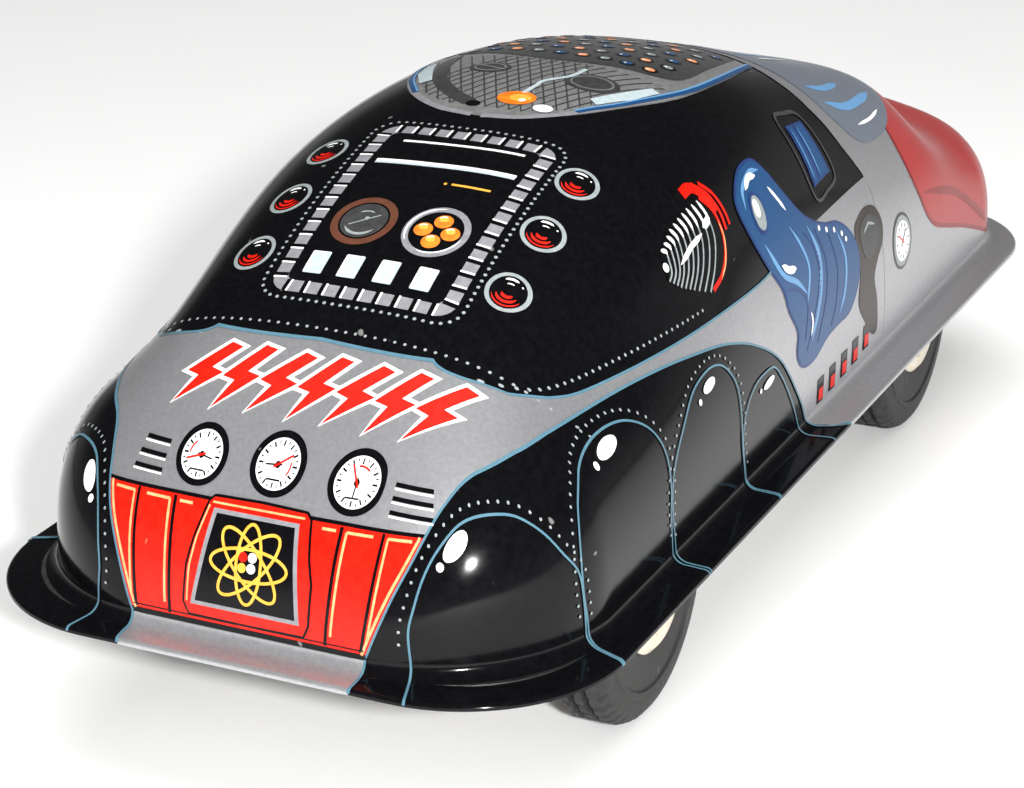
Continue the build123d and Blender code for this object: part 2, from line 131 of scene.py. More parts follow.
DUST = (520.0, 0.78, (0.16, 0.16, 0.15))
INK = {
    "black": ink("ink_black", (0.0025, 0.0025, 0.003), (0.004, 0.004, 0.005), rough=(0.09, 0.15),
                 coat=0.0, specular=0.2, specks=DUST),
    "silver": material("ink_silver", (0.44, 0.44, 0.455), (0.5, 0.5, 0.515), rough=(0.34, 0.44),
                       metal=0.7, coat=0.15, scale=2600.0, bump=0.05, coat_rough=0.12),
    "red": ink("ink_red", (0.62, 0.008, 0.003), (0.7, 0.014, 0.005), specks=(900.0, 0.82, (0.8, 0.2, 0.12))),
    "deep_red": ink("ink_deep_red", (0.2, 0.006, 0.006), (0.26, 0.01, 0.01)),
    "hood_red": ink("ink_hood_red", (0.36, 0.026, 0.024), (0.38, 0.03, 0.028)),
    "white": ink("ink_white", (0.85, 0.85, 0.83)),
    "grey": ink("ink_grey", (0.2, 0.2, 0.215), (0.25, 0.25, 0.265)),
    "pale": ink("ink_pale", (0.42, 0.5, 0.52), (0.5, 0.58, 0.6)),
    "line_blue": ink("ink_line_blue", (0.075, 0.17, 0.225), (0.09, 0.19, 0.245)),
    "line_grey": ink("ink_line_grey", (0.24, 0.27, 0.27), (0.3, 0.33, 0.33)),
    "blue": ink("ink_blue", (0.011, 0.06, 0.165), (0.013, 0.066, 0.178)),
    "light_blue": ink("ink_light_blue", (0.12, 0.28, 0.5), (0.13, 0.3, 0.53)),
    "dark_blue": ink("ink_dark_blue", (0.012, 0.03, 0.12), (0.018, 0.045, 0.16)),
    "glass_blue": ink("ink_glass_blue", (0.125, 0.145, 0.18), (0.135, 0.155, 0.19)),
    "orange": ink("ink_orange", (0.85, 0.16, 0.012), (0.9, 0.24, 0.02)),
    "amber": ink("ink_amber", (0.8, 0.36, 0.04), (0.85, 0.44, 0.07)),
    "brown": ink("ink_brown", (0.1, 0.035, 0.02), (0.12, 0.045, 0.025)),
    "umber": ink("ink_umber", (0.03, 0.02, 0.017), (0.034, 0.024, 0.02)),
    "peach": ink("ink_peach", (0.9, 0.3, 0.12), (0.95, 0.42, 0.2)),
    "panel_grey": ink("ink_panel_grey", (0.14, 0.14, 0.14), (0.19, 0.19, 0.185)),
    "dark_grey": ink("ink_dark_grey", (0.035, 0.035, 0.036), (0.05, 0.05, 0.05)),
}

METAL = {
    "litho_tinplate": INK["black"],
    "bare_tinplate": material("bare_tin", (0.5, 0.5, 0.49), (0.62, 0.62, 0.6), rough=(0.28, 0.45),
                              metal=1.0, scale=260.0, bump=0.12, grain=(1, 6, 1),
                              specks=(300.0, 0.74, (0.3, 0.26, 0.22))),
    "steel": material("plain_steel", (0.42, 0.42, 0.43), (0.55, 0.55, 0.56), rough=(0.2, 0.36),
                      metal=1.0, scale=420.0, bump=0.1, grain=(1, 1, 7)),
    "spring_steel": material("blued_spring", (0.09, 0.1, 0.14), (0.15, 0.16, 0.2), rough=(0.22, 0.34),
                             metal=1.0, scale=420.0, bump=0.06),
    "brass": material("gear_brass", (0.62, 0.42, 0.16), (0.74, 0.53, 0.22), rough=(0.22, 0.4),
                      metal=1.0, scale=380.0, bump=0.1, specks=(420.0, 0.72, (0.3, 0.18, 0.07))),
    "cream_plastic": material("cream_plastic", (0.66, 0.58, 0.46), (0.74, 0.67, 0.55), rough=(0.35, 0.5),
                              scale=500.0, bump=0.08, specks=(380.0, 0.7, (0.34, 0.27, 0.18))),
    "black_rubber": material("black_rubber", (0.012, 0.012, 0.012), (0.022, 0.021, 0.02),
                             rough=(0.5, 0.7), scale=1300.0, bump=0.3,
                             specks=(700.0, 0.72, (0.06, 0.055, 0.05))),
}
for part in frame["record"]["subparts"]:
    shown = frame["nodes"][part["node"]]
    shown.data.materials.clear()
    shown.data.materials.append(METAL[part["material_slot"]])

# ---------------------------------------------------------------- shape of the pressing, in millimetres

ROOT_Z = 17.2
HALF_LENGTH = 69.6
HALF_WIDTH = 26.6
REAR_RADIUS = 16.0
FRONT_RADIUS = 13.0
REAR_ARC = HALF_LENGTH - REAR_RADIUS
FRONT_ARC = HALF_LENGTH - FRONT_RADIUS
WAIST_ANGLE = 40.0
WAIST_SPREAD = 13.0
# Along the car: x, crown height over the root, squareness, depth of the waist
STATIONS = (
    (-69.6, 0.0, 3.6, 0.0),
    (-69.5, 2.2, 3.6, 0.0),
    (-69.0, 4.6, 3.57, 0.0),
    (-68.4, 7.0, 3.5, 0.0),
    (-67.3, 9.7, 3.4, 0.0),
    (-65.6, 12.5, 3.2, 0.0),
    (-62.8, 15.5, 3.0, 0.004),
    (-59.0, 18.9, 2.86, 0.018),
    (-53.4, 23.0, 2.7, 0.050),
    (-46.0, 27.3, 2.55, 0.062),
    (-37.6, 30.6, 2.72, 0.058),
    (-28.3, 33.0, 2.9, 0.042),
    (-18.1, 34.8, 2.82, 0.022),
    (-6.9, 35.2, 2.7, 0.013),
    (4.4, 33.9, 2.65, 0.010),
    (15.6, 31.4, 2.7, 0.013),
    (25.9, 28.2, 3.2, 0.021),
    (33.4, 25.8, 3.8, 0.037),
    (40.3, 24.2, 3.85, 0.048),
    (46.4, 20.2, 3.4, 0.059),
    (52.4, 16.8, 3.25, 0.058),
    (59.0, 15.3, 3.0, 0.045),
    (64.9, 14.4, 3.2, 0.025),
    (67.8, 12.2, 3.9, 0.008),
    (69.2, 8.3, 4.18, 0.0),
    (69.5, 4.0, 4.2, 0.0),
    (69.6, 0.0, 4.2, 0.0),
)


def spline(points, count):
    """Uniform cubic B-spline from the first point to the last."""
    p = np.array(points, float)
    p = np.vstack([2 * p[0] - p[1], p, 2 * p[-1] - p[-2]])
    t = np.linspace(0, len(p) - 3, count)
    i = np.minimum(t.astype(int), len(p) - 4)
    u = (t - i)[:, None]
    return (
        (1 - u) ** 3 * p[i]
        + (3 * u**3 - 6 * u**2 + 4) * p[i + 1]
        + (-3 * u**3 + 3 * u**2 + 3 * u + 1) * p[i + 2]
        + u**3 * p[i + 3]
    ) / 6


CROWN = spline(STATIONS, 6000)
CROWN_RUN = np.concatenate([[0], np.cumsum(np.hypot(*np.diff(CROWN[:, :2], axis=0).T))])


def crown(x):
    """Crown height, squareness and depth of the waist at x."""
    return [np.interp(x, CROWN[:, 0], CROWN[:, k]) for k in (1, 2, 3)]


def half_width(x):
    back = np.clip(-x - REAR_ARC, 0, REAR_RADIUS)
    ahead = np.clip(x - FRONT_ARC, 0, FRONT_RADIUS)
    return (
        HALF_WIDTH
        - (REAR_RADIUS - np.sqrt(np.maximum(REAR_RADIUS**2 - back**2, 0)))
        - (FRONT_RADIUS - np.sqrt(np.maximum(FRONT_RADIUS**2 - ahead**2, 0)))
    )


def section_reach(x, height, power, waist, angle):
    """Distance from the root's middle out to the skin, at an angle round the section."""
    side, rise = np.abs(np.cos(angle)), np.abs(np.sin(angle))
    lean = np.degrees(np.arctan2(rise, side))
    plain = ((side / half_width(x)) ** power + (rise / np.maximum(height, 1e-6)) ** power) ** (-1 / power)
    return plain * (1 - waist * np.exp(-(((lean - WAIST_ANGLE) / WAIST_SPREAD) ** 2)))


def level(p):
    """Under 1 inside the pressing, over 1 outside."""
    x = np.clip(p[:, 0], -HALF_LENGTH, HALF_LENGTH)
    height, power, waist = crown(x)
    z = np.maximum(p[:, 2] - ROOT_Z, 0)
    out = np.hypot(p[:, 1], z) / section_reach(x, height, power, waist, np.arctan2(z, p[:, 1]))
    return np.where(np.abs(p[:, 0]) > HALF_LENGTH, 9.0, out)


def cast(origin, direction, far=60.0, steps=60):
    """First point of the skin along each ray."""
    near, hit = np.zeros(len(origin)), np.full(len(origin), far)
    found = np.zeros(len(origin), bool)
    for k in range(1, steps + 1):
        new = ~found
        new[new] = level(origin[new] + direction[new] * (far * k / steps)) < 1
        near[new], hit[new] = far * (k - 1) / steps, far * k / steps
        found |= new
    for _ in range(20):
        middle = (near + hit) / 2
        inside = level(origin + direction * middle[:, None]) < 1
        hit = np.where(inside, middle, hit)
        near = np.where(inside, near, middle)
    return origin + direction * hit[:, None]


def skin_normals(p):
    slope = np.zeros_like(p)
    for axis in range(3):
        step = np.zeros(3)
        step[axis] = 0.04
        slope[:, axis] = level(p + step) - level(p - step)
    return slope / np.linalg.norm(slope, axis=1)[:, None]


# Perimeter of the root outline, from the middle of the rear: end, corner, side, corner, end
REAR_FLAT = HALF_WIDTH - REAR_RADIUS
FRONT_FLAT = HALF_WIDTH - FRONT_RADIUS
SIDE_START = REAR_FLAT + REAR_RADIUS * math.pi / 2
SIDE_END = SIDE_START + REAR_ARC + FRONT_ARC
FRONT_START = SIDE_END + FRONT_RADIUS * math.pi / 2
HALF_RUN = FRONT_START + FRONT_FLAT
RIM_LENGTH = 72.5
RIM_WIDTH = 30.0
RIM_CORNER = 15.0


def root_outline(run):
    """Points and outward directions of the root outline; run is positive on the right."""
    b, turn = np.abs(run), np.where(run < 0, 1.0, -1.0)
    x, y, nx, ny = (np.zeros_like(b) for _ in range(4))
    part = b < REAR_FLAT
    x[part], y[part], nx[part] = -HALF_LENGTH, b[part], -1
    part = (b >= REAR_FLAT) & (b < SIDE_START)
    t = (b[part] - REAR_FLAT) / REAR_RADIUS
    nx[part], ny[part] = -np.cos(t), np.sin(t)
    x[part], y[part] = -REAR_ARC - REAR_RADIUS * np.cos(t), REAR_FLAT + REAR_RADIUS * np.sin(t)
    part = (b >= SIDE_START) & (b < SIDE_END)
    x[part], y[part], ny[part] = -REAR_ARC + b[part] - SIDE_START, HALF_WIDTH, 1
    part = (b >= SIDE_END) & (b < FRONT_START)
    t = (b[part] - SIDE_END) / FRONT_RADIUS
    nx[part], ny[part] = np.sin(t), np.cos(t)
    x[part], y[part] = FRONT_ARC + FRONT_RADIUS * np.sin(t), FRONT_FLAT + FRONT_RADIUS * np.cos(t)
    part = b >= FRONT_START
    x[part], y[part], nx[part] = HALF_LENGTH, HALF_RUN - b[part], 1
    return np.stack([x, y * turn], 1), np.stack([nx, ny * turn], 1)


def corner_path(share, first, radius, last):
    """Across a rim corner: straight, arc, straight; returns distance past the first end and side."""
    total = first + radius * math.pi / 2 + last
    d = share * total
    turn = np.clip((d - first) / radius, 0, math.pi / 2)
    along = np.minimum(d, first) + radius * np.sin(turn)
    inward = radius * (1 - np.cos(turn)) + np.clip(d - first - radius * math.pi / 2, 0, None)
    return along, inward


def rim_outline(run):
    """The point of the outer rim that belongs to each point of the root outline."""
    b, turn = np.abs(run), np.where(run < 0, 1.0, -1.0)
    xy, _ = root_outline(b)
    x, y = xy[:, 0].copy(), -xy[:, 1]
    part = b < REAR_FLAT
    x[part] = -RIM_LENGTH
    part = (b >= REAR_FLAT) & (b < SIDE_START)
    along, inward = corner_path(
        (b[part] - REAR_FLAT) / (SIDE_START - REAR_FLAT),
        RIM_WIDTH - RIM_CORNER - REAR_FLAT, RIM_CORNER, RIM_LENGTH - RIM_CORNER - REAR_ARC,
    )
    x[part], y[part] = -RIM_LENGTH + inward, REAR_FLAT + along
    part = (b >= SIDE_START) & (b < SIDE_END)
    y[part] = RIM_WIDTH
    part = (b >= SIDE_END) & (b < FRONT_START)
    along, inward = corner_path(
        (b[part] - SIDE_END) / (FRONT_START - SIDE_END),
        RIM_LENGTH - RIM_CORNER - FRONT_ARC, RIM_CORNER, RIM_WIDTH - RIM_CORNER - FRONT_FLAT,
    )
    x[part], y[part] = FRONT_ARC + along, RIM_WIDTH - inward
    part = b >= FRONT_START
    x[part] = RIM_LENGTH
    return np.stack([x, y * turn], 1)


def flange_profile():
    """Share of the way out and height, from the root to the bottom of the rolled rim."""
    turn = np.linspace(0, math.pi / 2, 9)
    sweep = [(0.42 * (1 - math.cos(t)), ROOT_Z - 1.3 * math.sin(t)) for t in turn]
    flat = [(0.6, 15.83), (0.78, 15.77)]
    roll = [(0.88 + 0.12 * math.sin(t), 15.42 + 0.32 * math.cos(t)) for t in np.linspace(0, math.pi / 2, 6)]
    return np.array(sweep + flat + roll + [(1.0, 15.2)])


PROFILE = flange_profile()
MEAN_FLANGE = 3.2
PROFILE_RUN = np.concatenate(
    [[0], np.cumsum(np.hypot(np.diff(PROFILE[:, 0]) * MEAN_FLANGE, np.diff(PROFILE[:, 1])))]
)
FOOT = ROOT_Z - PROFILE_RUN[-1]


def flange_point(run, down):
    root, _ = root_outline(run)
    rim = rim_outline(run)
    share = np.interp(down, PROFILE_RUN, PROFILE[:, 0])[:, None]
    height = np.interp(down, PROFILE_RUN, PROFILE[:, 1])
    return np.column_stack([root + (rim - root) * share, height])


# ---------------------------------------------------------------- charts: flat coordinates to the skin


def wall(a, v):
    """a is the run round the root outline, v the height; under the root, v runs out over the flange."""
    points, normals = np.zeros((len(a), 3)), np.zeros((len(a), 3))
    up = v >= ROOT_Z
    if up.any():
        xy, out = root_outline(a[up])
        start = np.column_stack([xy + out * 4, v[up]])
        points[up] = cast(start, np.column_stack([-out, np.zeros(up.sum())]))
        normals[up] = skin_normals(points[up])
    low = ~up
    if low.any():
        run, down = a[low], ROOT_Z - v[low]
        points[low] = flange_point(run, down)
        e = 0.05
        along = flange_point(run + e, down) - flange_point(run - e, down)
        lower, upper = np.minimum(down + e, PROFILE_RUN[-1]), np.maximum(down - e, 0)
        across = flange_point(run, lower) - flange_point(run, upper)
        n = np.cross(along, across)
        n /= np.linalg.norm(n, axis=1)[:, None]
        n[n[:, 2] < -0.2] *= -1
        outward = (n[:, :2] * root_outline(run)[1]).sum(1) + n[:, 2]
        n[outward < 0] *= -1
        normals[low] = n
    return points, normals


def deck(u, s):
    """u is the distance to the right of the middle, s the run up the crown from the tail."""
    x, z = np.interp(s, CROWN_RUN, CROWN[:, 0]), np.interp(s, CROWN_RUN, CROWN[:, 1]) + ROOT_Z
    e = 0.4
    tx = np.interp(s + e, CROWN_RUN, CROWN[:, 0]) - np.interp(s - e, CROWN_RUN, CROWN[:, 0])
    tz = np.interp(s + e, CROWN_RUN, CROWN[:, 1]) - np.interp(s - e, CROWN_RUN, CROWN[:, 1])
    size = np.hypot(tx, tz)
    out = np.column_stack([-tz / size, np.zeros_like(x), tx / size])
    points = cast(np.column_stack([x, -u, z]) + out * 20, -out, far=50.0, steps=50)
    return points, skin_normals(points)


def flank(side):
    def chart(x, z):
        """x along the car and z up, seen square from one side."""
        start = np.column_stack([x, np.full_like(x, side * 32.0), z])
        points = cast(start, np.tile([0.0, -side, 0.0], (len(x), 1)), far=32.0, steps=40)
        return points, skin_normals(points)
    return chart


def roof(u, x):
    """u is the distance to the right of the middle, x along the car, seen from above."""
    start = np.column_stack([x, -u, np.full_like(x, 60.0)])
    points = cast(start, np.tile([0.0, 0.0, -1.0], (len(x), 1)), far=43.0, steps=50)
    return points, skin_normals(points)


# ---------------------------------------------------------------- mesh builders

# Height of the first film over the skin, height added by each layer, and thickness of a film
LIFT = 0.03
LAYER = 0.03
FILM = 0.03


def new_mesh(name, vertices, faces, materials, normals=None):
    mesh = bpy.data.meshes.new(name)
    mesh.from_pydata((np.asarray(vertices) * MM).tolist(), [], faces)
    for m in materials:
        mesh.materials.append(m)
    mesh.polygons.foreach_set("use_smooth", [True] * len(mesh.polygons))
    mesh.update()
    if normals is not None:
        mesh.normals_split_custom_set_from_vertices(np.asarray(normals).tolist())
    made = bpy.data.objects.new(name, mesh)
    bpy.context.scene.collection.objects.link(made)
    return made


def printed(name, colour, layer, patches, body="chassis"):
    """One colour of the print: thin closed films that follow the skin.
    patches is a list of (chart, flat points, faces)."""
    all_points, all_normals, all_faces, count = [], [], [], 0
    for chart, flat, faces in patches:
        flat = np.asarray(flat, float)
        points, normals = chart(flat[:, 0].copy(), flat[:, 1].copy())
        first = np.array([f[:3] for f in faces])
        side = np.cross(points[first[:, 1]] - points[first[:, 0]], points[first[:, 2]] - points[first[:, 0]])
        turned = (side * normals[first[:, 0]]).sum(1) < 0
        faces = [tuple(reversed(f)) if t else tuple(f) for f, t in zip(faces, turned)]
        top = points + normals * (LIFT + LAYER * layer)
        low = points + normals * (LIFT + LAYER * layer - FILM)
        n = len(points)
        edges = {}
        for f in faces:
            for i, j in zip(f, f[1:] + f[:1]):
                edges[(i, j)] = edges.get((i, j), 0) + 1
        rim = [(j, i, i + n, j + n) for i, j in edges if (j, i) not in edges]
        solid = faces + [tuple(i + n for i in reversed(f)) for f in faces] + rim
        all_faces += [tuple(i + count for i in f) for f in solid]
        all_points += [top, low]
        all_normals += [normals, -normals]
        count += 2 * n
    made = new_mesh("print_" + name, np.vstack(all_points), all_faces, [INK[colour]], np.vstack(all_normals))
    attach(made, body)
    return made


def resampled(path, step, closed):
    p = np.array(path, float)
    if closed:
        p = np.vstack([p, p[0]])
    out = []
    for a, b in zip(p[:-1], p[1:]):
        n = max(1, int(math.ceil(np.linalg.norm(b - a) / step)))
        out += [a + (b - a) * k / n for k in range(n)]
    if not closed:
        out.append(p[-1])
    return np.array(out)


def smooth(path, closed=False, per=6):
    """Catmull-Rom through the given points."""
    p = np.array(path, float)
    if closed:
        q = np.vstack([p[-1], p, p[0], p[1]])
    else:
        q = np.vstack([2 * p[0] - p[1], p, 2 * p[-1] - p[-2]])
    out = []
    for a, b, c, d in zip(q[:-3], q[1:-2], q[2:-1], q[3:]):
        for k in range(per):
            t = k / per
            bend, twist = 2 * a - 5 * b + 4 * c - d, 3 * b - a - 3 * c + d
            out.append(0.5 * (2 * b + (c - a) * t + bend * t**2 + twist * t**3))
    if not closed:
        out.append(q[-2])
    return np.array(out)


def circle(u, v, r, stretch=1.0, count=28, start=0.0, end=360.0):
    t = np.radians(np.linspace(start, end, count + 1))
    ring = np.column_stack([u + r * np.cos(t), v + r * stretch * np.sin(t)])
    return ring[:-1] if end - start >= 360 else ring


def turned(path, u, v, degrees):
    """The path turned about its own origin and moved to (u, v)."""
    a = math.radians(degrees)
    p = np.array(path, float)
    return np.column_stack([u + p[:, 0] * math.cos(a) - p[:, 1] * math.sin(a),
                            v + p[:, 0] * math.sin(a) + p[:, 1] * math.cos(a)])


def inside(points, outlines):
    odd = np.zeros(len(points), bool)
    for outline in outlines:
        a, b = outline, np.roll(outline, -1, axis=0)
        for (x0, y0), (x1, y1) in zip(a, b):
            if y0 == y1:
                continue
            crossing = (points[:, 1] > min(y0, y1)) & (points[:, 1] <= max(y0, y1))
            odd ^= crossing & (points[:, 0] < x0 + (points[:, 1] - y0) * (x1 - x0) / (y1 - y0))
    return odd


def area(chart, *outlines, cell=1.0, step=0.6):
    """A filled flat shape; a second outline inside the first is a hole."""
    loops = [resampled(o, step, True) for o in outlines]
    low, high = loops[0].min(0), loops[0].max(0)
    grid = np.array(np.meshgrid(np.arange(low[0] + cell / 2, high[0], cell),
                                np.arange(low[1] + cell / 2, high[1], cell))).reshape(2, -1).T
    edge = np.vstack(loops)
    if len(grid):
        grid = grid[inside(grid, loops)]
    if len(grid):
        gap = np.array([((edge - g) ** 2).sum(1).min() for g in grid])
        grid = grid[gap > (0.45 * min(cell, step * 1.2)) ** 2]
    verts = [Vector(p) for p in np.vstack([edge, grid]).tolist()]
    links, base = [], 0
    for loop in loops:
        n = len(loop)
        links += [(base + i, base + (i + 1) % n) for i in range(n)]
        base += n
    out, _, faces, *_ = delaunay_2d_cdt(verts, links, [], 0, 1e-5)
    flat = np.array([tuple(v) for v in out])
    faces = [tuple(f) for f in faces]
    middle = np.array([flat[list(f)].mean(0) for f in faces])
    kept = inside(middle, loops)
    return chart, flat, [f for f, k in zip(faces, kept) if k]


def strip(chart, path, width, closed=False, step=0.6, taper=False):
    """A drawn line of constant width, or one that thins towards its ends."""
    p = resampled(path, step, closed)
    if closed:
        ahead = np.roll(p, -1, axis=0) - np.roll(p, 1, axis=0)
    else:
        ahead = np.gradient(p, axis=0)
    ahead /= np.linalg.norm(ahead, axis=1)[:, None]
    left = np.column_stack([-ahead[:, 1], ahead[:, 0]])
    half = np.full((len(p), 1), width / 2)
    if taper:
        half *= np.clip(np.sin(np.linspace(0.06, math.pi - 0.06, len(p))) * 1.6, 0.12, 1)[:, None]
    n = len(p)
    flat = np.vstack([p + left * half, p - left * half])
    last = n if closed else n - 1
    return chart, flat, [(i, (i + 1) % n, (i + 1) % n + n, i + n) for i in range(last)]


def dots(chart, centres, radius, count=8):
    flat, faces = [], []
    for u, v in centres:
        base = len(flat)
        flat += circle(u, v, radius, count=count).tolist()
        faces.append(tuple(range(base, base + count)))
    return chart, flat, faces


def along(path, spacing, closed=False):
    """Evenly spaced points on a path."""
    p = resampled(path, 0.1, closed)
    run = np.concatenate([[0], np.cumsum(np.linalg.norm(np.diff(p, axis=0), axis=1))])
    at = np.linspace(0, run[-1], max(2, int(round(run[-1] / spacing)) + 1))
    if closed:
        at = at[:-1]
    return np.column_stack([np.interp(at, run, p[:, 0]), np.interp(at, run, p[:, 1])])


def mirrored(patch):
    """The same shape on the other side, for charts whose first number is 0 in the middle."""
    chart, flat, faces = patch
    flat = np.array(flat, float)
    flat[:, 0] *= -1
    return chart, flat, faces


def both(*patches):
    return [q for p in patches for q in (p, mirrored(p))]


def lofted(chart, curves):
    """A surface through flat curves of equal point count."""
    n = len(curves[0])
    return chart, np.vstack(curves), [
        (r * n + i, r * n + i + 1, (r + 1) * n + i + 1, (r + 1) * n + i)
        for r in range(len(curves) - 1) for i in range(n - 1)
    ]


def skin(x, turn):
    """x along the car and the section's own parameter, 0 at the right root to 180 at the left."""
    t = np.radians(turn)
    height, power, waist = crown(x)
    side, rise = half_width(x) * np.cos(t), height * np.sin(t)
    lean = np.degrees(np.arctan2(rise, np.abs(side)))
    size = (np.abs(np.cos(t)) ** power + np.abs(np.sin(t)) ** power) ** (-1 / power)
    size = size * (1 - waist * np.exp(-(((lean - WAIST_ANGLE) / WAIST_SPREAD) ** 2)))
    points = np.column_stack([x, -side * size, ROOT_Z + rise * size])
    inner = points.copy()
    inner[:, 0] = np.clip(inner[:, 0], -HALF_LENGTH + 0.05, HALF_LENGTH - 0.05)
    inner[:, 2] = np.maximum(inner[:, 2], ROOT_Z + 0.05)
    return points, skin_normals(inner)


# ---------------------------------------------------------------- the pressing

ROWS = 210
COLUMNS = 132
SHEET = 0.4
KEY_X = -17.4
KEY_Z = 29.54
KEY_HOLE = 2.7


def root_run(x, y):
    """Run round the root outline of its points; the inverse of root_outline."""
    b = np.where(x < 0, np.abs(y), HALF_RUN - np.abs(y))
    part = (x < -REAR_ARC) & (x > -HALF_LENGTH + 1e-6)
    b[part] = REAR_FLAT + REAR_RADIUS * np.arccos(np.clip((-REAR_ARC - x[part]) / REAR_RADIUS, -1, 1))
    part = (x >= -REAR_ARC) & (x <= FRONT_ARC)
    b[part] = SIDE_START + REAR_ARC + x[part]
    part = (x > FRONT_ARC) & (x < HALF_LENGTH - 1e-6)
    b[part] = SIDE_END + FRONT_RADIUS * np.arcsin(np.clip((x[part] - FRONT_ARC) / FRONT_RADIUS, -1, 1))
    return np.where(y < 0, b, -b)


def pressing():
    run = np.linspace(0, CROWN_RUN[-1], ROWS)
    xs = np.interp(run, CROWN_RUN, CROWN[:, 0])
    turns = np.linspace(0, 180, COLUMNS)
    points, normals = skin(np.repeat(xs, COLUMNS), np.tile(turns, ROWS))
    faces = [
        (r * COLUMNS + c, (r + 1) * COLUMNS + c, (r + 1) * COLUMNS + c + 1, r * COLUMNS + c + 1)
        for r in range(ROWS - 1) for c in range(COLUMNS - 1)
    ]
    # The hole for the key's eyelet, in the left side
    off = points[:, [0, 2]] - (KEY_X, KEY_Z)
    gap = np.hypot(*off.T)
    gap[points[:, 1] < 0] = 99
    faces = [f for f in faces if min(gap[list(f)]) > KEY_HOLE - 0.45]
    used = {i for f in faces for i in f}
    edge = [i for i in np.flatnonzero(gap < KEY_HOLE + 0.45) if i in used]
    round_hole = off[edge] / gap[edge][:, None] * KEY_HOLE + (KEY_X, KEY_Z)
    points[edge], normals[edge] = flank(1)(round_hole[:, 0], round_hole[:, 1])
    # The flange continues the hull's lower edge outwards
    last = COLUMNS - 1
    loop = list(range(COLUMNS))
    loop += [r * COLUMNS + last for r in range(1, ROWS)]
    loop += [(ROWS - 1) * COLUMNS + c for c in range(last - 1, -1, -1)]
    loop += [r * COLUMNS for r in range(ROWS - 2, 0, -1)]
    around = root_run(points[loop, 0], points[loop, 1])
    rings, base, n = [points], len(points), len(loop)
    previous = loop
    for k, down in enumerate(PROFILE_RUN[1:]):
        rings.append(flange_point(around, np.full(n, down)))
        here = [base + k * n + i for i in range(n)]
        faces += [(previous[i], previous[(i + 1) % n], here[(i + 1) % n], here[i]) for i in range(n)]
        previous = here
    made = new_mesh("pressed_body", np.vstack(rings), faces, [INK["black"], METAL["bare_tinplate"]])
    thick = made.modifiers.new("sheet", "SOLIDIFY")
    thick.thickness = SHEET * MM
    thick.offset = -1
    thick.material_offset = 1
    solid = bpy.data.meshes.new_from_object(made.evaluated_get(bpy.context.evaluated_depsgraph_get()))
    made.modifiers.clear()
    made.data = solid
    solid.set_sharp_from_angle(angle=math.radians(50))
    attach(made, "chassis")
    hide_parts("body_shell")
    return made


pressing()


def on_both(make):
    """Patches for the right and the left side, in (x, z)."""
    return [p for side in (-1, 1) for p in make(flank(side))]


# ---------------------------------------------------------------- print: silver bands and front

FRONT_SEAM = 113.0
UPPER_EDGE = smooth([
    (0, 38.9), (10, 38.5), (20, 38.0), (28, 37.5), (33, 36.9), (36.8, 35.7), (39.3, 34.9), (43.3, 34.4),
    (55, 34.2), (68, 34.2), (77, 34.3), (85.3, 35.2), (96, 35.3), (107.3, 35.3), (FRONT_SEAM, 35.3),
])
SKIRT = smooth([
    (11.4, 17.2), (12.6, 20.3), (13.8, 23), (15.2, 25.5), (16.6, 27.7), (18, 29.3), (20, 30.7), (22, 31.5),
    (24, 31.9), (28, 32.5), (30, 32.7), (35.3, 33.1), (43.3, 33.3), (49.3, 33.3), (55.3, 33.0),
    (61.3, 32.3), (65.3, 31.6), (69.3, 30.4), (72.3, 29.1), (75.3, 27.5), (77.8, 25.7), (79.8, 23.6),
    (81.3, 21.8), (83.3, 19.3), (84.5, 17.2),
])
FLANGE_V = ROOT_Z - PROFILE_RUN
FLIP = np.array([-1.0, 1.0])

right_half = np.vstack([UPPER_EDGE, [(FRONT_SEAM, 17.2)], SKIRT[::-1]])
rear_and_sides = np.vstack([right_half, (right_half * FLIP)[::-1]])
rear_lip = lofted(wall, [
    np.column_stack([np.linspace(-w, w, 41), np.full(41, v)])
    for v, w in zip(FLANGE_V, np.linspace(11.4, 11.1, len(FLANGE_V)))
])
side_lip = lofted(wall, [
    np.column_stack([np.linspace(first, HALF_RUN, 110), np.full(110, v)])
    for v, first in zip(FLANGE_V, np.linspace(84.5, 89.3, len(FLANGE_V)))
])
SEAM_TURN = (0, 30.8, 34.5, 40.8, 49.6, 57.2, 71.3, 90)
SEAM_X = (19.9, 19.9, 19.2, 17.0, 15.3, 14.9, 15.5, 16.0)


def front_rows(turns, first, last, count=100):
    """Rows along the front of the hull, from the seam behind the windshield or a given x."""
    rows = []
    for turn in turns:
        start = np.interp(min(turn, 180 - turn), SEAM_TURN, SEAM_X) if first is None else first
        run = np.linspace(np.interp(start, CROWN[:, 0], CROWN_RUN), np.interp(last, CROWN[:, 0], CROWN_RUN),
                          count)
        rows.append(np.column_stack([np.interp(run, CROWN_RUN, CROWN[:, 0]), np.full(count, turn)]))
    return rows


printed("silver_bands", "silver", 1, [area(wall, rear_and_sides, cell=1.2), rear_lip,
                                            *both(side_lip)])
printed("silver_front", "silver", 2, [lofted(skin, front_rows(np.linspace(0, 180, 121), None, HALF_LENGTH))])

# ---------------------------------------------------------------- print: blue and dark lines of the skirt

upper_line = np.vstack([(UPPER_EDGE * FLIP)[::-1][:-1], UPPER_EDGE])
upper_line = upper_line[np.abs(upper_line[:, 0]) < 80]
skirt_down = [(84.5, 17.2), (87, 14.2), (89.2, FOOT + 0.2)]
rear_down = [(11.15, FOOT + 0.2), (11.3, 14.5)]
skirt_line = np.vstack([rear_down, SKIRT, skirt_down[1:]])
printed("skirt_lines", "line_blue", 3, [
    strip(wall, upper_line, 0.2), *both(strip(wall, skirt_line, 0.22, step=0.35)),
])
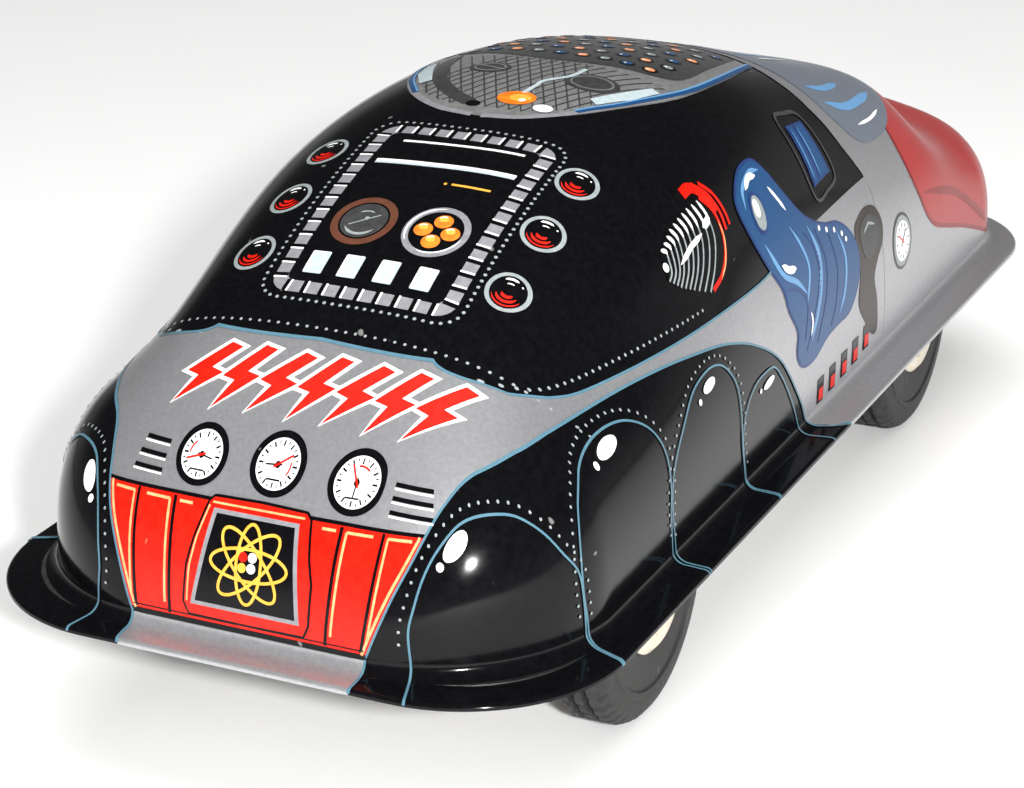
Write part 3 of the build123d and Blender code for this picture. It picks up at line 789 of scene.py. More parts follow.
# Spacing and radius of the rivet dots
DOT_PITCH = 0.95
DOT_RADIUS = 0.15
side_dots = smooth([(-55.2, 37.7), (-53.5, 36.7), (-51, 35.8), (-47, 35.45), (-40, 35.4), (-26, 35.4)])
top_dots = smooth([(-22.9, 27.8), (-20, 27.9), (-14, 28.1), (0, 28.4), (14, 28.1), (20, 27.9), (22.9, 27.8)])
printed("rivet_dots", "line_grey", 1, [
    dots(deck, along(top_dots, DOT_PITCH), DOT_RADIUS),
    *on_both(lambda chart: [dots(chart, along(side_dots, DOT_PITCH), DOT_RADIUS)])])

# ---------------------------------------------------------------- print: rear panel

PANEL_TOP = 27.5
panel_side = SKIRT[(SKIRT[:, 0] < 20) & (SKIRT[:, 1] > 17.55) & (SKIRT[:, 1] < PANEL_TOP)]
panel_side = np.vstack([[(11.5, 17.55)], panel_side, [(16.4, PANEL_TOP)]])
panel = np.vstack([panel_side, [(8, PANEL_TOP + 0.15), (0, PANEL_TOP + 0.2), (-8, PANEL_TOP + 0.15)],
                   (panel_side * FLIP)[::-1]])
printed("rear_panel", "red", 2, [area(wall, panel, cell=1.0)])
seam_lines, slat_lights = [], []
for top, low in ((8.1, 7.6), (12.2, 11.0)):
    seam_lines += both(strip(wall, [(top, PANEL_TOP), (low, 17.7)], 0.3))
    slat_lights += both(strip(wall, [(top + 0.5, PANEL_TOP - 0.35), (low + 0.5, 18.6)], 0.22))
    slat_lights += both(strip(wall, [(top + 0.5, PANEL_TOP - 0.35), (top + 3.0, PANEL_TOP - 0.35)], 0.22))
edge_lights = both(strip(wall, [(6.3, PANEL_TOP - 0.35), (7.6, PANEL_TOP - 0.35)], 0.22),
                   strip(wall, panel_side - (0.45, 0), 0.25))
printed("panel_seams", "black", 3, seam_lines + [
    strip(wall,
          [(-16.6, PANEL_TOP + 0.1), (-8, PANEL_TOP + 0.25), (8, PANEL_TOP + 0.25),
           (16.6, PANEL_TOP + 0.1)], 0.28),
    strip(wall, [(-11.6, 17.35), (11.6, 17.35)], 0.5),
    *both(strip(wall, [(1.0, 17.9), (11.3, 17.9)], 0.12)),
])
printed("panel_lights", "peach", 3, slat_lights + edge_lights)

frame_outer = np.array([
    (-4.6, 27.6), (-4.2, 27.95), (0.3, 28.05), (4.7, 27.95), (5.1, 27.55), (5.5, 24.6), (5.95, 22.6),
    (5.9, 19.1), (5.5, 18.15), (0, 18.1), (-5.6, 18.15), (-6.1, 19.1), (-6.0, 22.3), (-5.5, 24.6),
])
frame_inner = np.array([(-4.1, 27.15), (4.2, 27.15), (5.15, 19.0), (-5.5, 19.0)])
field = np.array([(-3.75, 26.8), (3.85, 26.8), (4.72, 19.35), (-5.07, 19.35)])
printed("emblem_edge", "black", 4, [strip(wall, frame_outer, 0.45, closed=True)])
printed("emblem_frame", "red", 5, [area(wall, frame_outer, frame_inner, cell=1.2)])
printed("emblem_light", "peach", 6, [
    strip(wall, [(-4.3, 27.55), (4.6, 27.6)], 0.16),
    strip(wall, [(-4.55, 27.3), (-5.35, 24.6), (-5.8, 22.2), (-5.85, 19.2)], 0.16),
])
printed("emblem_bezel", "grey", 5, [area(wall, frame_inner, field, cell=1.5)])
printed("emblem_field", "black", 5, [area(wall, field, cell=1.2)])
ATOM = (-0.05, 23.15)
orbits = []
for tilt in (0, 45, 90, 135):
    reach = 3.3 if tilt == 90 else 3.7
    loop = turned(circle(0, 0, reach, 0.36, count=48), *ATOM, tilt)
    orbits.append(strip(wall, loop, 0.26, closed=True, step=0.4))
printed("atom_orbits", "amber", 6, orbits)
ATOM_CORE = (("red", -0.55, 0.65), ("white", 0.35, 0.7), ("amber", -0.6, -0.25), ("white", 0.3, -0.2))
for k, (colour, u, v) in enumerate(ATOM_CORE):
    printed(f"atom_core_{k + 1}", colour, 7, [dots(wall, [(ATOM[0] + u, ATOM[1] + v)], 0.42, 14)])

# ---------------------------------------------------------------- print: gauges, louvers and bolts

GAUGES = ((-6.65, 30.6, 2.5, 200), (0.75, 30.9, 2.6, 35), (8.35, 30.6, 2.6, 120))
rings, faces_white, ticks, needles, marks = [], [], [], [], []
for u, v, r, heading in GAUGES:
    rings.append(area(wall, circle(u, v, r, 0.88, 40)))
    faces_white.append(area(wall, circle(u, v, r * 0.78, 0.88, 36), cell=1.0))
    for k in range(24):
        t = math.radians(k * 15)
        inner = 0.62 if k % 2 else 0.54
        ticks.append(strip(wall, [
            (u + r * s * math.cos(t), v + r * s * 0.88 * math.sin(t)) for s in (inner, 0.71)
        ], 0.09 if k % 2 else 0.14))
    for turn, reach, thick in ((heading, 0.58, 0.16), (heading + 150, 0.44, 0.12)):
        t = math.radians(turn)
        end = (u + r * reach * math.cos(t), v + r * reach * 0.88 * math.sin(t))
        tail = (u - r * 0.16 * math.cos(t), v - r * 0.16 * 0.88 * math.sin(t))
        (needles if thick > 0.14 else marks).append(strip(wall, [tail, end], thick))
    needles.append(strip(wall, circle(u, v, r * 0.48, 0.88, 12, heading - 70, heading - 20), 0.14))
    marks.append(dots(wall, [(u, v)], 0.26, 12))
    marks.append(strip(wall, [(u - 0.7, v - 1.05), (u + 0.6, v - 1.05)], 0.13))
printed("gauge_rings", "black", 3, rings)
printed("gauge_faces", "white", 4, faces_white)
printed("gauge_ticks", "black", 5, ticks + marks)
printed("gauge_needles", "red", 6, needles)

louvers, louver_lights = [], []
LOUVERS = (
    ((-13.9, 31.0), (-10.1, 31.0)), ((-13.9, 30.0), (-10.1, 30.0)), ((-13.9, 29.0), (-10.1, 29.0)),
    ((12.3, 30.85), (17.3, 30.55)), ((12.3, 29.95), (17.3, 29.65)), ((12.3, 29.0), (17.3, 28.7)),
)
for (a0, z0), (a1, z1) in LOUVERS:
    louvers.append(strip(wall, [(a0, z0), (a1, z1)], 0.3))
    louver_lights.append(strip(wall, [(a0, z0 - 0.28), (a1, z1 - 0.28)], 0.14))
printed("louvers", "black", 3, louvers)
printed("louver_lights", "white", 3, louver_lights)

BOLT = np.array([(0.35, 3.0), (-1.45, -0.4), (-0.3, -0.4), (-0.85, -3.0), (1.45, 0.6), (0.3, 0.6),
                 (1.45, 3.0)])


def grown(path, distance):
    """The closed outline moved outwards by a distance, with sharp corners."""
    p = np.array(path, float)
    ahead = np.roll(p, -1, axis=0) - p
    ahead /= np.linalg.norm(ahead, axis=1)[:, None]
    turning = (p[:, 0] * np.roll(p[:, 1], -1) - np.roll(p[:, 0], -1) * p[:, 1]).sum()
    out = np.column_stack([ahead[:, 1], -ahead[:, 0]]) * (1 if turning > 0 else -1)
    before = np.roll(out, 1, axis=0)
    mitre = (out + before) / np.maximum(1 + (out * before).sum(1), 0.45)[:, None]
    return p + mitre * distance


bolts, bolt_edges = [], []
for k in range(7):
    u = -9.6 + 3.72 * k
    shape = turned(BOLT * (1.18, 1.22), u, 22.3 + 0.012 * k, -16 + (4 if k % 2 else -1))
    bolts.append(area(deck, shape, cell=1.0, step=0.5))
    bolt_edges.append(area(deck, grown(shape, 0.36), cell=1.0, step=0.5))
printed("bolt_edges", "white", 3, bolt_edges)
printed("bolts", "red", 4, bolts)

# ---------------------------------------------------------------- print: instrument deck

TILE_LEFT, TILE_RIGHT, TILE_LOW, TILE_HIGH = -7.6, 10.35, 31.85, 56.9
TILE_BAND = 1.3
TILE_CORNER = 1.8


def rounded(left, right, low, high, radius, count=6):
    corners = ((right - radius, high - radius, 0), (left + radius, high - radius, 90),
               (left + radius, low + radius, 180), (right - radius, low + radius, 270))
    return np.vstack([circle(u, v, radius, count=count, start=a, end=a + 90) for u, v, a in corners])


middle_ring = rounded(TILE_LEFT + TILE_BAND / 2, TILE_RIGHT - TILE_BAND / 2, TILE_LOW + TILE_BAND / 2,
                      TILE_HIGH - TILE_BAND / 2, TILE_CORNER - TILE_BAND / 2)
gaps, gap_lights = [], []
ring_points = along(middle_ring, 0.05, closed=True)
step = 1.79 / 0.05
count = int(round(len(ring_points) / step))
for k in range(count):
    i = int(k * len(ring_points) / count)
    ahead = ring_points[(i + 3) % len(ring_points)] - ring_points[i - 3]
    ahead /= np.linalg.norm(ahead)
    across = np.array([-ahead[1], ahead[0]]) * (TILE_BAND / 2 + 0.02)
    at = ring_points[i]
    gaps.append(strip(deck, [at - across, at + across], 0.42))
    at = at + ahead * 0.33
    gap_lights.append(strip(deck, [at - across, at + across], 0.2))
tile_outer = rounded(TILE_LEFT, TILE_RIGHT, TILE_LOW, TILE_HIGH, TILE_CORNER)
tile_inner = rounded(TILE_LEFT + TILE_BAND, TILE_RIGHT - TILE_BAND, TILE_LOW + TILE_BAND,
                     TILE_HIGH - TILE_BAND,
                     TILE_CORNER - TILE_BAND + 0.3)
printed("tile_frame", "grey", 1, [area(deck, tile_outer, tile_inner, cell=0.9)])
printed("tile_gaps", "black", 2, gaps)
printed("tile_lights", "white", 3, gap_lights)
printed("panel_dots", "line_grey", 1, [
    dots(deck,
         along(rounded(TILE_LEFT - 0.9, TILE_RIGHT + 0.8, TILE_LOW - 0.75, TILE_HIGH + 0.8, 2.2), 0.8,
               True), 0.17),
])
printed("deck_bars", "white", 1, [
    strip(deck, [(-4.5, 54.2), (7.7, 54.7)], 0.32), strip(deck, [(-5.5, 50.6), (8.4, 51.2)], 0.36),
])
printed("deck_bar_shade", "pale", 1, [strip(deck, [(-5.5, 50.25), (8.4, 50.85)], 0.34)])
printed("deck_dash", "amber", 1,
        [strip(deck, [(3.4, 48.1), (7.2, 48.2)], 0.28), dots(deck, [(2.8, 48.05)], 0.17)])
GLASS = (-2.25, 41.4)
BALLS = (4.95, 41.4)
printed("glass_ring", "brown", 1,
        [area(deck, circle(*GLASS, 3.1, 1.06, 40), circle(*GLASS, 2.4, 1.06, 36), cell=0.8)])
printed("glass_face", "dark_grey", 1, [area(deck, circle(*GLASS, 2.2, 1.06, 32), cell=0.9)])
printed("glass_lights", "line_grey", 2, [
    strip(deck, circle(*GLASS, 1.75, 1.06, 16, 215, 325), 0.3, taper=True),
    strip(deck, circle(*GLASS, 1.2, 1.06, 10, 60, 130), 0.16, taper=True),
    dots(deck, [(GLASS[0] + 0.2, GLASS[1] + 0.3)], 0.22, 10),
    strip(deck, [(GLASS[0] - 1.2, GLASS[1] - 0.8), (GLASS[0] + 1.3, GLASS[1] + 0.9)], 0.12),
])
printed("ball_ring", "grey", 1,
        [area(deck, circle(*BALLS, 3.1, 1.08, 40), circle(*BALLS, 2.5, 1.08, 36), cell=0.8)])
printed("ball_ring_lights", "white", 2, [
    strip(deck, circle(*BALLS, 2.82, 1.08, 20, 95, 215), 0.18, taper=True),
    strip(deck, circle(*BALLS, 2.6, 1.08, 20, 250, 350), 0.16, taper=True),
])
ball_places = ((0.15, 1.4), (-1.25, 0.0), (1.4, 0.0), (0.05, -1.35))
printed("balls", "orange", 1,
        [area(deck, circle(BALLS[0] + u, BALLS[1] + v, 0.88, 1.0, 22), cell=0.8) for u, v in ball_places])
printed("ball_lights", "amber", 2, [
    area(deck, circle(BALLS[0] + u - 0.1, BALLS[1] + v + 0.25, 0.45, 0.8, 14), cell=0.6)
    for u, v in ball_places])
printed("ball_glints", "white", 3, [
    strip(deck, circle(BALLS[0] + u, BALLS[1] + v, 0.6, 1.0, 8, 70, 150), 0.14, taper=True)
    for u, v in ball_places])
lamps, lamp_lights = [], []
for u in (-4.2, -0.8, 2.75, 6.4):
    lamps.append(area(deck, rounded(u - 0.93, u + 0.93, 34.2, 36.9, 0.12, 2), cell=0.9))
    lamp_lights.append(strip(deck, [(u - 0.85, 36.75), (u + 0.8, 36.75)], 0.16))
    lamp_lights.append(strip(deck, [(u - 0.83, 34.4), (u - 0.83, 36.7)], 0.14))
printed("lamps", "pale", 1, lamps)
printed("lamp_edges", "white", 2, lamp_lights)

port_rings, port_glints, port_reds = [], [], []
for u, v, r, tall in ((-11.3, 36.35, 1.85, 1.13), (-11.5, 44.25, 1.85, 1.13), (-11.75, 52.25, 1.85, 1.13),
                      (13.55, 36.95, 1.75, 1.22), (13.5, 45.15, 1.75, 1.22), (13.35, 53.35, 1.75, 1.22)):
    port_rings.append(strip(deck, circle(u, v, r, tall, 32), 0.38, closed=True, step=0.5))
    port_glints.append(strip(deck, circle(u, v, r * 0.72, tall, 10, 70, 125), 0.24, taper=True))
    port_glints.append(strip(deck, circle(u, v, r * 0.46, tall, 8, 75, 120), 0.13, taper=True))
    port_glints.append(dots(deck, [(u + r * 0.5, v + r * 0.62)], 0.09))
    for reach, thick in ((0.78, 0.16), (0.56, 0.28), (0.3, 0.34)):
        port_reds.append(strip(deck, circle(u, v, r * reach, tall, 12, 205, 335), thick, taper=True))
printed("port_rings", "line_grey", 1, port_rings)
printed("port_glints", "white", 2, port_glints)
printed("port_reds", "red", 2, port_reds)

# ---------------------------------------------------------------- print: mudguards

GUARDS = (
    smooth([(15.2, FOOT + 0.2), (15.3, 15), (15.4, 17), (15.2, 20), (15.6, 22), (16.4, 24.5), (17.6, 26.5),
            (19.5, 28.2), (21.5, 28.9), (24, 29), (26, 28.6), (28, 27.2), (29.7, 25), (31.1, 23),
            (31.5, 20), (31.7, 17.5), (31.8, 15), (31.8, FOOT + 0.2)]),
    smooth([(32.0, FOOT + 0.2), (32.0, 15), (32.03, 17.5), (31.5, 21), (31.6, 24), (32.2, 26.5),
            (33.4, 28.5), (35.9, 30.3), (38.9, 31.3), (42.3, 31.6), (45.3, 31.2), (47.8, 29.8),
            (49.3, 27.5), (49.7, 24.5), (49.4, 21), (49.7, 17.5),
            (50.1, 15), (50.3, FOOT + 0.2)]),
    smooth([(50.8, FOOT + 0.2), (50.6, 15), (50.4, 17.5), (49.8, 21), (50.0, 23.5), (51.3, 25.7),
            (53.8, 27.8), (56.8, 29.8), (59.8, 30.6), (62.3, 30.6), (64.3, 29.7), (66.1, 27.5),
            (66.8, 24.5), (67.0, 21), (67.8, 17.5), (68.4, 15),
            (68.6, FOOT + 0.2)]),
    smooth([(68.9, FOOT + 0.2), (68.7, 15), (68.0, 17.5), (67.2, 21), (67.5, 23), (68.8, 24.7),
            (70.8, 25.8), (73.3, 26.1), (75.8, 25.8), (77.8, 24), (79.8, 21.5), (81.8, 18.5), (83.5, 15),
            (84.3, FOOT + 0.2)]),
)


def beside(path, distance):
    """The open path moved sideways, away from its own inside."""
    p = np.array(path, float)
    ahead = np.gradient(p, axis=0)
    ahead /= np.linalg.norm(ahead, axis=1)[:, None]
    return p + np.column_stack([-ahead[:, 1], ahead[:, 0]]) * distance


guard_dots = []
for guard in GUARDS[:3]:
    upper = beside(guard, 0.85)
    guard_dots += both(dots(wall, along(upper[upper[:, 1] > 18.5], 1.05), 0.14))
printed("guard_lines", "line_blue", 3, both(*[strip(wall, g, 0.2, step=0.3) for g in GUARDS]))
printed("guard_dots", "line_grey", 3, guard_dots)
glints = [
    area(wall, turned(circle(0, 0, 1.5, 0.5, 20), 19.45, 26.95, 42), cell=0.8),
    dots(wall, [(17.95, 25.45)], 0.36, 14),
    area(wall, turned(circle(0, 0, 1.85, 0.36, 20), 40.9, 30.35, 8), cell=0.8),
    dots(wall, [(38.2, 29.7)], 0.36, 14),
    area(wall, turned(circle(0, 0, 1.35, 0.4, 20), 60.3, 29.4, 8), cell=0.8),
    dots(wall, [(57.9, 28.6)], 0.3, 14),
    area(wall, turned(circle(0, 0, 1.4, 0.3, 20), 74.2, 24.8, 6), cell=0.8),
    dots(wall, [(72.0, 24.7)], 0.25, 14),
]
printed("guard_glints", "white", 3, both(*glints))

# ---------------------------------------------------------------- print: sides


def shape(*paths, **more):
    return on_both(lambda chart: [area(chart, p, **more) for p in paths])


def drawn(*lines, taper=False, closed=False):
    return on_both(lambda chart: [strip(chart, path, width, closed=closed, taper=taper)
                                  for path, width in lines])


# Ribbed cone with its red flare
CONE_TOP = ((-29.3, 41.6), (-26.3, 43.0), (-22.8, 43.7), (-19.8, 43.85))
CONE_LOW = ((-29.7, 39.2), (-28.1, 38.1), (-25.9, 37.2), (-23.4, 36.3))
CONE_SHARE = (0, 0.36, 0.72, 1)
top_edge = smooth(CONE_TOP)
low_edge = smooth(CONE_LOW[::-1])
base_edge = smooth([CONE_TOP[-1], (-18.6, 42.4), (-18.4, 40.6), (-19.2, 38.6), (-21.0, 37.1), CONE_LOW[-1]])
cone = np.vstack([top_edge, base_edge[1:], low_edge[1:]])
cone_ribs, cone_tops = [], []
for k in range(10):
    share = k / 9.6 + 0.03
    upper, lower = (np.array([np.interp(share, CONE_SHARE, [q[i] for q in edge]) for i in (0, 1)])
                    for edge in (CONE_TOP, CONE_LOW))
    bow = (upper + lower) / 2 + np.array([0.75 + 1.35 * share, 0.25])
    rib = smooth([upper, (upper + bow) / 2 + (0.35, 0.25), bow, (lower + bow) / 2 + (0.25, -0.2), lower])
    cone_ribs.append((rib, 0.2))
    cone_tops.append((rib[:9], 0.38))
printed("cone", "black", 2, shape(cone))
printed("cone_ribs", "line_grey", 3, drawn(*cone_ribs))
printed("cone_lights", "white", 4, drawn(*cone_tops, (
    [(-27.0, 39.9), (-24.4, 40.8), (-21.8, 41.3)], 0.5), ([(-21.2, 41.7), (-19.4, 42.1)], 0.75), taper=True) +
    on_both(lambda chart: [dots(chart, [(-29.4, 40.3)], 0.42, 14)]))
flare = [(base_edge + (0.35, 0.1), 0.42),
         (smooth([(-21.7, 44.8), (-19.9, 44.9), (-18.3, 43.7), (-17.7, 42.2)]), 0.9),
         (smooth([(-18.2, 44.9), (-16.8, 43.6), (-16.2, 41.9), (-16.2, 40.6)]), 0.4),
         (smooth([(-19.4, 45.1), (-17.8, 43.8), (-17.1, 42.0), (-17.2, 40.4)]), 0.42)]
printed("cone_flare", "red", 3, drawn(*flare))
printed("cone_flare_light", "peach", 4,
        drawn((smooth([(-18.15, 41.5), (-18.2, 39.9), (-19.4, 38.0), (-21.1, 36.8)]), 0.2), taper=True))

# Blue pod beside the cockpit
pod = smooth([(-12.9, 38.8), (-13.4, 41.6), (-11.4, 43.2), (-9.0, 43.9), (-6.1, 43.75), (-4.5, 42.3),
              (-3.2, 40.5), (-1.1, 37.9), (1.4, 35.9), (5, 34.4), (8.6, 33.5), (11.4, 31.6), (12.5, 29.3),
              (11.6, 26.6), (8.6, 24.4), (4.5, 24.2), (1.4, 23.9),
              (-2.4, 22.9), (-5.6, 23.2), (-7.1, 24.8), (-6.6, 27.1), (-8.3, 29.8), (-8.9, 32.1),
              (-11.0, 35)], closed=True)
printed("pod_edge", "dark_blue", 3, drawn((pod, 0.55), closed=True))
printed("pod", "blue", 4, shape(pod, cell=1.0))
printed("pod_folds", "dark_blue", 5, drawn(
    (smooth([(-1.0, 35.4), (0.9, 33.2), (0.9, 30.5), (-1.3, 27.5), (-4.6, 24.4)]), 0.5),
    (smooth([(2.0, 34.9), (3.2, 31.5), (2.0, 28), (-1.5, 24.2)]), 0.34),
    (smooth([(-8.6, 31.8), (-5.5, 31.0), (-3.4, 29.0), (-4.9, 25.6)]), 0.3),
    (smooth([(5.2, 33.8), (6.0, 30), (4.6, 26.5), (2.6, 24.6)]), 0.26), taper=True))
printed("pod_shine", "light_blue", 5, drawn(
    (smooth([(0.4, 35.6), (1.6, 32.5), (0.4, 29), (-3.2, 24.9)]), 0.8),
    (smooth([(7.6, 33.0), (8.6, 30), (7.4, 27), (5.2, 25)]), 0.5),
    (smooth([(-12.1, 40.8), (-11.1, 42.4), (-8.1, 43.2), (-5.9, 42.9)]), 0.45),
    (smooth([(-10.6, 37.0), (-8.3, 33.4), (-5.3, 31.7), (-3.1, 29.8)]), 0.6),
    (smooth([(-3.9, 36.8), (-2.4, 34.6), (-1.6, 32), (-3.5, 29)]), 0.45), taper=True))
printed("pod_glints", "white", 6, drawn(
    (smooth([(-10.6, 42.2), (-8.9, 42.9), (-7.2, 42.7)]), 0.6),
    (smooth([(-5.7, 41.2), (-4.6, 39.8), (-3.5, 38.3)]), 0.42),
    (smooth([(-8.1, 34.2), (-6.6, 33.3), (-4.9, 33.0)]), 0.75),
    (smooth([(-2.9, 27.9), (-2.6, 26.8), (-3.3, 25.5)]), 0.34), taper=True) +
    on_both(lambda chart: [dots(chart, [(3.2, 34.6), (5.0, 33.9), (7.0, 33.3), (8.8, 32.4), (9.6, 31.6)],
                                0.28, 10)]))
printed("pod_button_edge", "dark_blue", 6, shape(circle(-9.7, 39.8, 1.5, 1.35, 28)))
printed("pod_button", "line_grey", 7, shape(circle(-9.7, 39.8, 1.22, 1.35, 26)))
printed("pod_button_shine", "white", 8, shape(circle(-9.95, 40.3, 0.62, 1.4, 18), cell=0.6))

# Side window, and the dark lever behind the pod
window_edge = smooth([(5.3, 44.7), (8.4, 44.5), (11.3, 43.7), (12.2, 41.2), (12.2, 37.5), (8.8, 36.8),
                      (5.3, 36.9), (4.8, 40.8)], closed=True)
printed("window_frame", "dark_grey", 2, drawn((window_edge, 0.34), closed=True))
printed("window", "dark_blue", 2, shape([(6.2, 43.8), (10.8, 43.2), (11.3, 38.1), (5.8, 38.0)]))
printed("window_light", "blue", 3,
        shape([(6.6, 43.6), (7.7, 43.4), (7.4, 38.2), (6.2, 38.2)],
              [(8.4, 43.3), (10.3, 43.0), (10.7, 38.3), (8.2, 38.3)]))
printed("window_streaks", "light_blue", 4,
        drawn(([(6.9, 43.2), (6.5, 38.5)], 0.2), ([(8.6, 43.1), (8.4, 38.5)], 0.2), taper=True))
lever = smooth([(12.6, 31.3), (14.4, 32.4), (17, 32.8), (19.4, 32.2), (20.6, 30.3), (19.9, 28.3),
                (17.9, 26.9), (16.6, 25.2), (17.3, 22.6), (17.4, 19.4), (15.8, 19.2), (13.8, 21),
                (11.5, 23.9), (12.4, 26.8)], closed=True)
printed("lever", "umber", 3, shape(lever))
printed("lever_grip", "dark_grey", 4,
        shape(smooth([(14, 31.2), (17, 32.0), (19.4, 30.6), (18.6, 28.6), (15.5, 27.6), (14, 28.8)],
                     closed=True)))
printed("lever_light", "line_grey", 5, drawn(([(14.8, 30.6), (16.6, 31.2), (18.4, 30.6)], 0.3), taper=True))

GAUGE = (25.9, 26.5)
printed("side_gauge_ring", "dark_grey", 3, shape(circle(*GAUGE, 3.1, 1.0, 40)))
printed("side_gauge_rim", "line_grey", 4, shape(circle(*GAUGE, 2.75, 1.0, 36)))
printed("side_gauge_face", "white", 5, shape(circle(*GAUGE, 2.2, 1.0, 32)))
side_ticks = [([(GAUGE[0] + s * math.cos(t), GAUGE[1] + s * math.sin(t)) for s in (1.55, 1.95)], 0.14)
              for t in np.radians(np.arange(0, 360, 30))]
printed("side_gauge_marks", "dark_grey", 6, drawn(*side_ticks, ([(25.4, 26.0), (27.0, 27.6)], 0.2)))
printed("side_gauge_needle", "red", 6, drawn(([(26.3, 26.2), (24.7, 27.4)], 0.18)))

light_places = ((-0.5, 18.7), (3.1, 18.8), (6.7, 19.0), (10.2, 19.2), (13.7, 19.6))
printed("light_wells", "black", 3, shape(*[
    np.array([(-0.95, -1.25), (0.9, -1.25), (1.15, 1.35), (-0.7, 1.35)]) + (x, z) for x, z in light_places]))
printed("light_lamps", "red", 4, shape(*[
    np.array([(-0.5, -1.0), (0.75, -1.0), (0.85, 0.25), (-0.4, 0.25)]) + (x, z) for x, z in light_places],
    cell=0.6))

# Red bonnet with a painted shade band along its crease, and the windshield


def root_turn(x, z):
    """The section parameter at which the right side reaches a height."""
    turns = np.linspace(0, 90, 400)
    points, _ = skin(np.full(400, x), turns)
    return float(np.interp(z, points[:, 2], turns))


def over_top(xs, lows, columns=161):
    """Across the car from a height on the right to the same height on the left."""
    rows = []
    for x, z in zip(xs, lows):
        start = root_turn(x, z)
        rows.append(np.column_stack([np.full(columns, x), np.linspace(start, 180 - start, columns)]))
    return lofted(skin, rows)


HOOD_LOW = smooth([(31.1, 37.4), (31.2, 35.4), (31.8, 32.4), (33, 29.6), (34.8, 26.9), (37.6, 24.9),
                   (42, 23.4), (48, 21.6), (54, 19.5), (58.5, 17.9), (62, 17.2)])
HOOD_NOSE = np.interp(np.linspace(np.interp(62, CROWN[:, 0], CROWN_RUN), CROWN_RUN[-1], 40)[1:], CROWN_RUN,
                      CROWN[:, 0])
hood_x = np.concatenate([HOOD_LOW[:, 0], HOOD_NOSE])
hood_z = np.concatenate([HOOD_LOW[:, 1], np.full(len(HOOD_NOSE), ROOT_Z)])
printed("hood", "hood_red", 3, [over_top(hood_x, hood_z)])
printed("hood_edge", "deep_red", 4, drawn((HOOD_LOW[:-3], 0.5)))
# Painted shade: a tapered darker red band where the bonnet's crease falls into shade
printed("hood_crease_shade", "deep_red", 4, drawn(
    (smooth([(34.5, 29.4), (38, 28.6), (45, 26.6), (50, 24.2), (55.5, 20.9), (59.5, 18.3)]), 0.9),
    taper=True))
GLASS_LOW = smooth([(17.2, 47.2), (17.6, 44.6), (18.3, 42.4), (19.6, 40.4), (21.5, 38.6), (24, 37.6),
                    (28, 37.3), (31.2, 37.3), (34, 37.8), (36.5, 38.5), (38.4, 39.4), (39.6, 40.6)])
printed("windshield", "glass_blue", 4, [over_top(*GLASS_LOW.T)])
# Painted reflections: pale blue streaks on the windshield glass, with white painted highlights below
printed("windshield_reflections", "light_blue", 5, drawn(
    (smooth([(20.0, 42.6), (24, 41.2), (29, 40.6), (34, 40.1)]), 0.7),
    (smooth([(19.6, 44.2), (23, 43.2), (28, 42.4)]), 0.45), taper=True) + [
    strip(roof, [(u, 19), (u * 0.96, 35)], 0.8, taper=True) for u in (-11, -6, -1, 4, 9)])
printed("windshield_lights", "white", 6,
        drawn((smooth([(24, 39.4), (28, 39.0), (32, 38.9)]), 0.3), taper=True) + [
    strip(roof, [(u, 21), (u * 0.97, 31)], 0.3, taper=True) for u in (-8.5, 1.5, 11)])
printed("hood_lights", "peach", 4, [
    strip(roof, [(side * 9, 43), (side * 8.4, 49), (side * 9, 56)], 0.4, taper=True) for side in (-1, 1)])

# ---------------------------------------------------------------- print: roof

cockpit = [(11.4, -16.5), (13.5, -10.6), (14.2, -4.2), (13.9, 4.8), (12.8, 14.6)]
tail = [(1.0, -24.4), (4.9, -23.6), (8.6, -20.9)]
half_panel = smooth(tail + cockpit)
BORDER_X = (-24.4, -20, -14, 14)
inner_half = half_panel - np.column_stack([
    np.interp(half_panel[:, 1], BORDER_X, (0.0, 0.9, 1.15, 1.2)),
    np.interp(half_panel[:, 1], BORDER_X, (-1.2, -0.9, -0.4, 0.4)),
])
panel_outline = np.vstack([half_panel, (half_panel * FLIP)[::-1]])
inner_outline = np.vstack([inner_half, (inner_half * FLIP)[::-1]])
printed("cockpit", "panel_grey", 1, [area(roof, panel_outline, cell=1.2)])
printed("cockpit_border", "grey", 2, both(strip(roof, half_panel - (0.5, 0), 0.7)))
deck_lines = []
for k in range(-9, 10):
    for sign in (-1, 1):
        path = [(k * 1.25 + sign * t * 0.5, -22.5 + t) for t in np.arange(0, 15, 0.5)]
        kept = [q for q in path if inside(np.array([q]), [inner_outline])[0]]
        if len(kept) > 3:
            deck_lines.append(strip(roof, kept, 0.16))
printed("cockpit_mesh", "dark_grey", 2, deck_lines)
printed("cockpit_rear", "dark_grey", 3, [
    area(roof,
         smooth([(-10.9, 14.2), (-11.9, 5), (-11.9, -4.5), (-6, -7.0), (0, -7.8), (6, -7.0), (11.9, -4.5),
                 (11.9, 5), (10.9, 14.2)]), cell=1.2),
    strip(roof, smooth([(-10.6, -7.2), (-9.6, -12), (-7.6, -16.8), (-4.6, -20.2), (-1.8, -22)]), 1.5),
    area(roof, circle(6.9, -13.1, 2.8, 0.8, 32), cell=1.0),
    area(roof, circle(-4.2, -12.6, 2.2, 0.7, 28), cell=1.0),
])
printed("cockpit_dials", "panel_grey", 4, [
    strip(roof, circle(6.9, -13.1, 2.1, 0.8, 28), 0.2, closed=True),
    strip(roof, circle(-4.2, -12.6, 1.6, 0.7, 24), 0.2, closed=True),
    strip(roof, [(-6, -11.9), (-2.6, -13)], 0.25)])
wedge = [(9.4, -17.8), (11.5, -14.0), (12.5, -9.8), (11.6, -9.4), (10.2, -13.2), (8.4, -17.0)]
printed("cockpit_wedges", "pale", 4, both(area(roof, wedge, cell=0.8)))
stripe = smooth([(8.5, -20.3), (11.2, -15.7), (13.1, -9.4), (13.8, -3.2), (13.5, 4.8), (12.5, 14.4)])
printed("cockpit_stripes", "blue", 5, both(strip(roof, stripe, 0.62)))
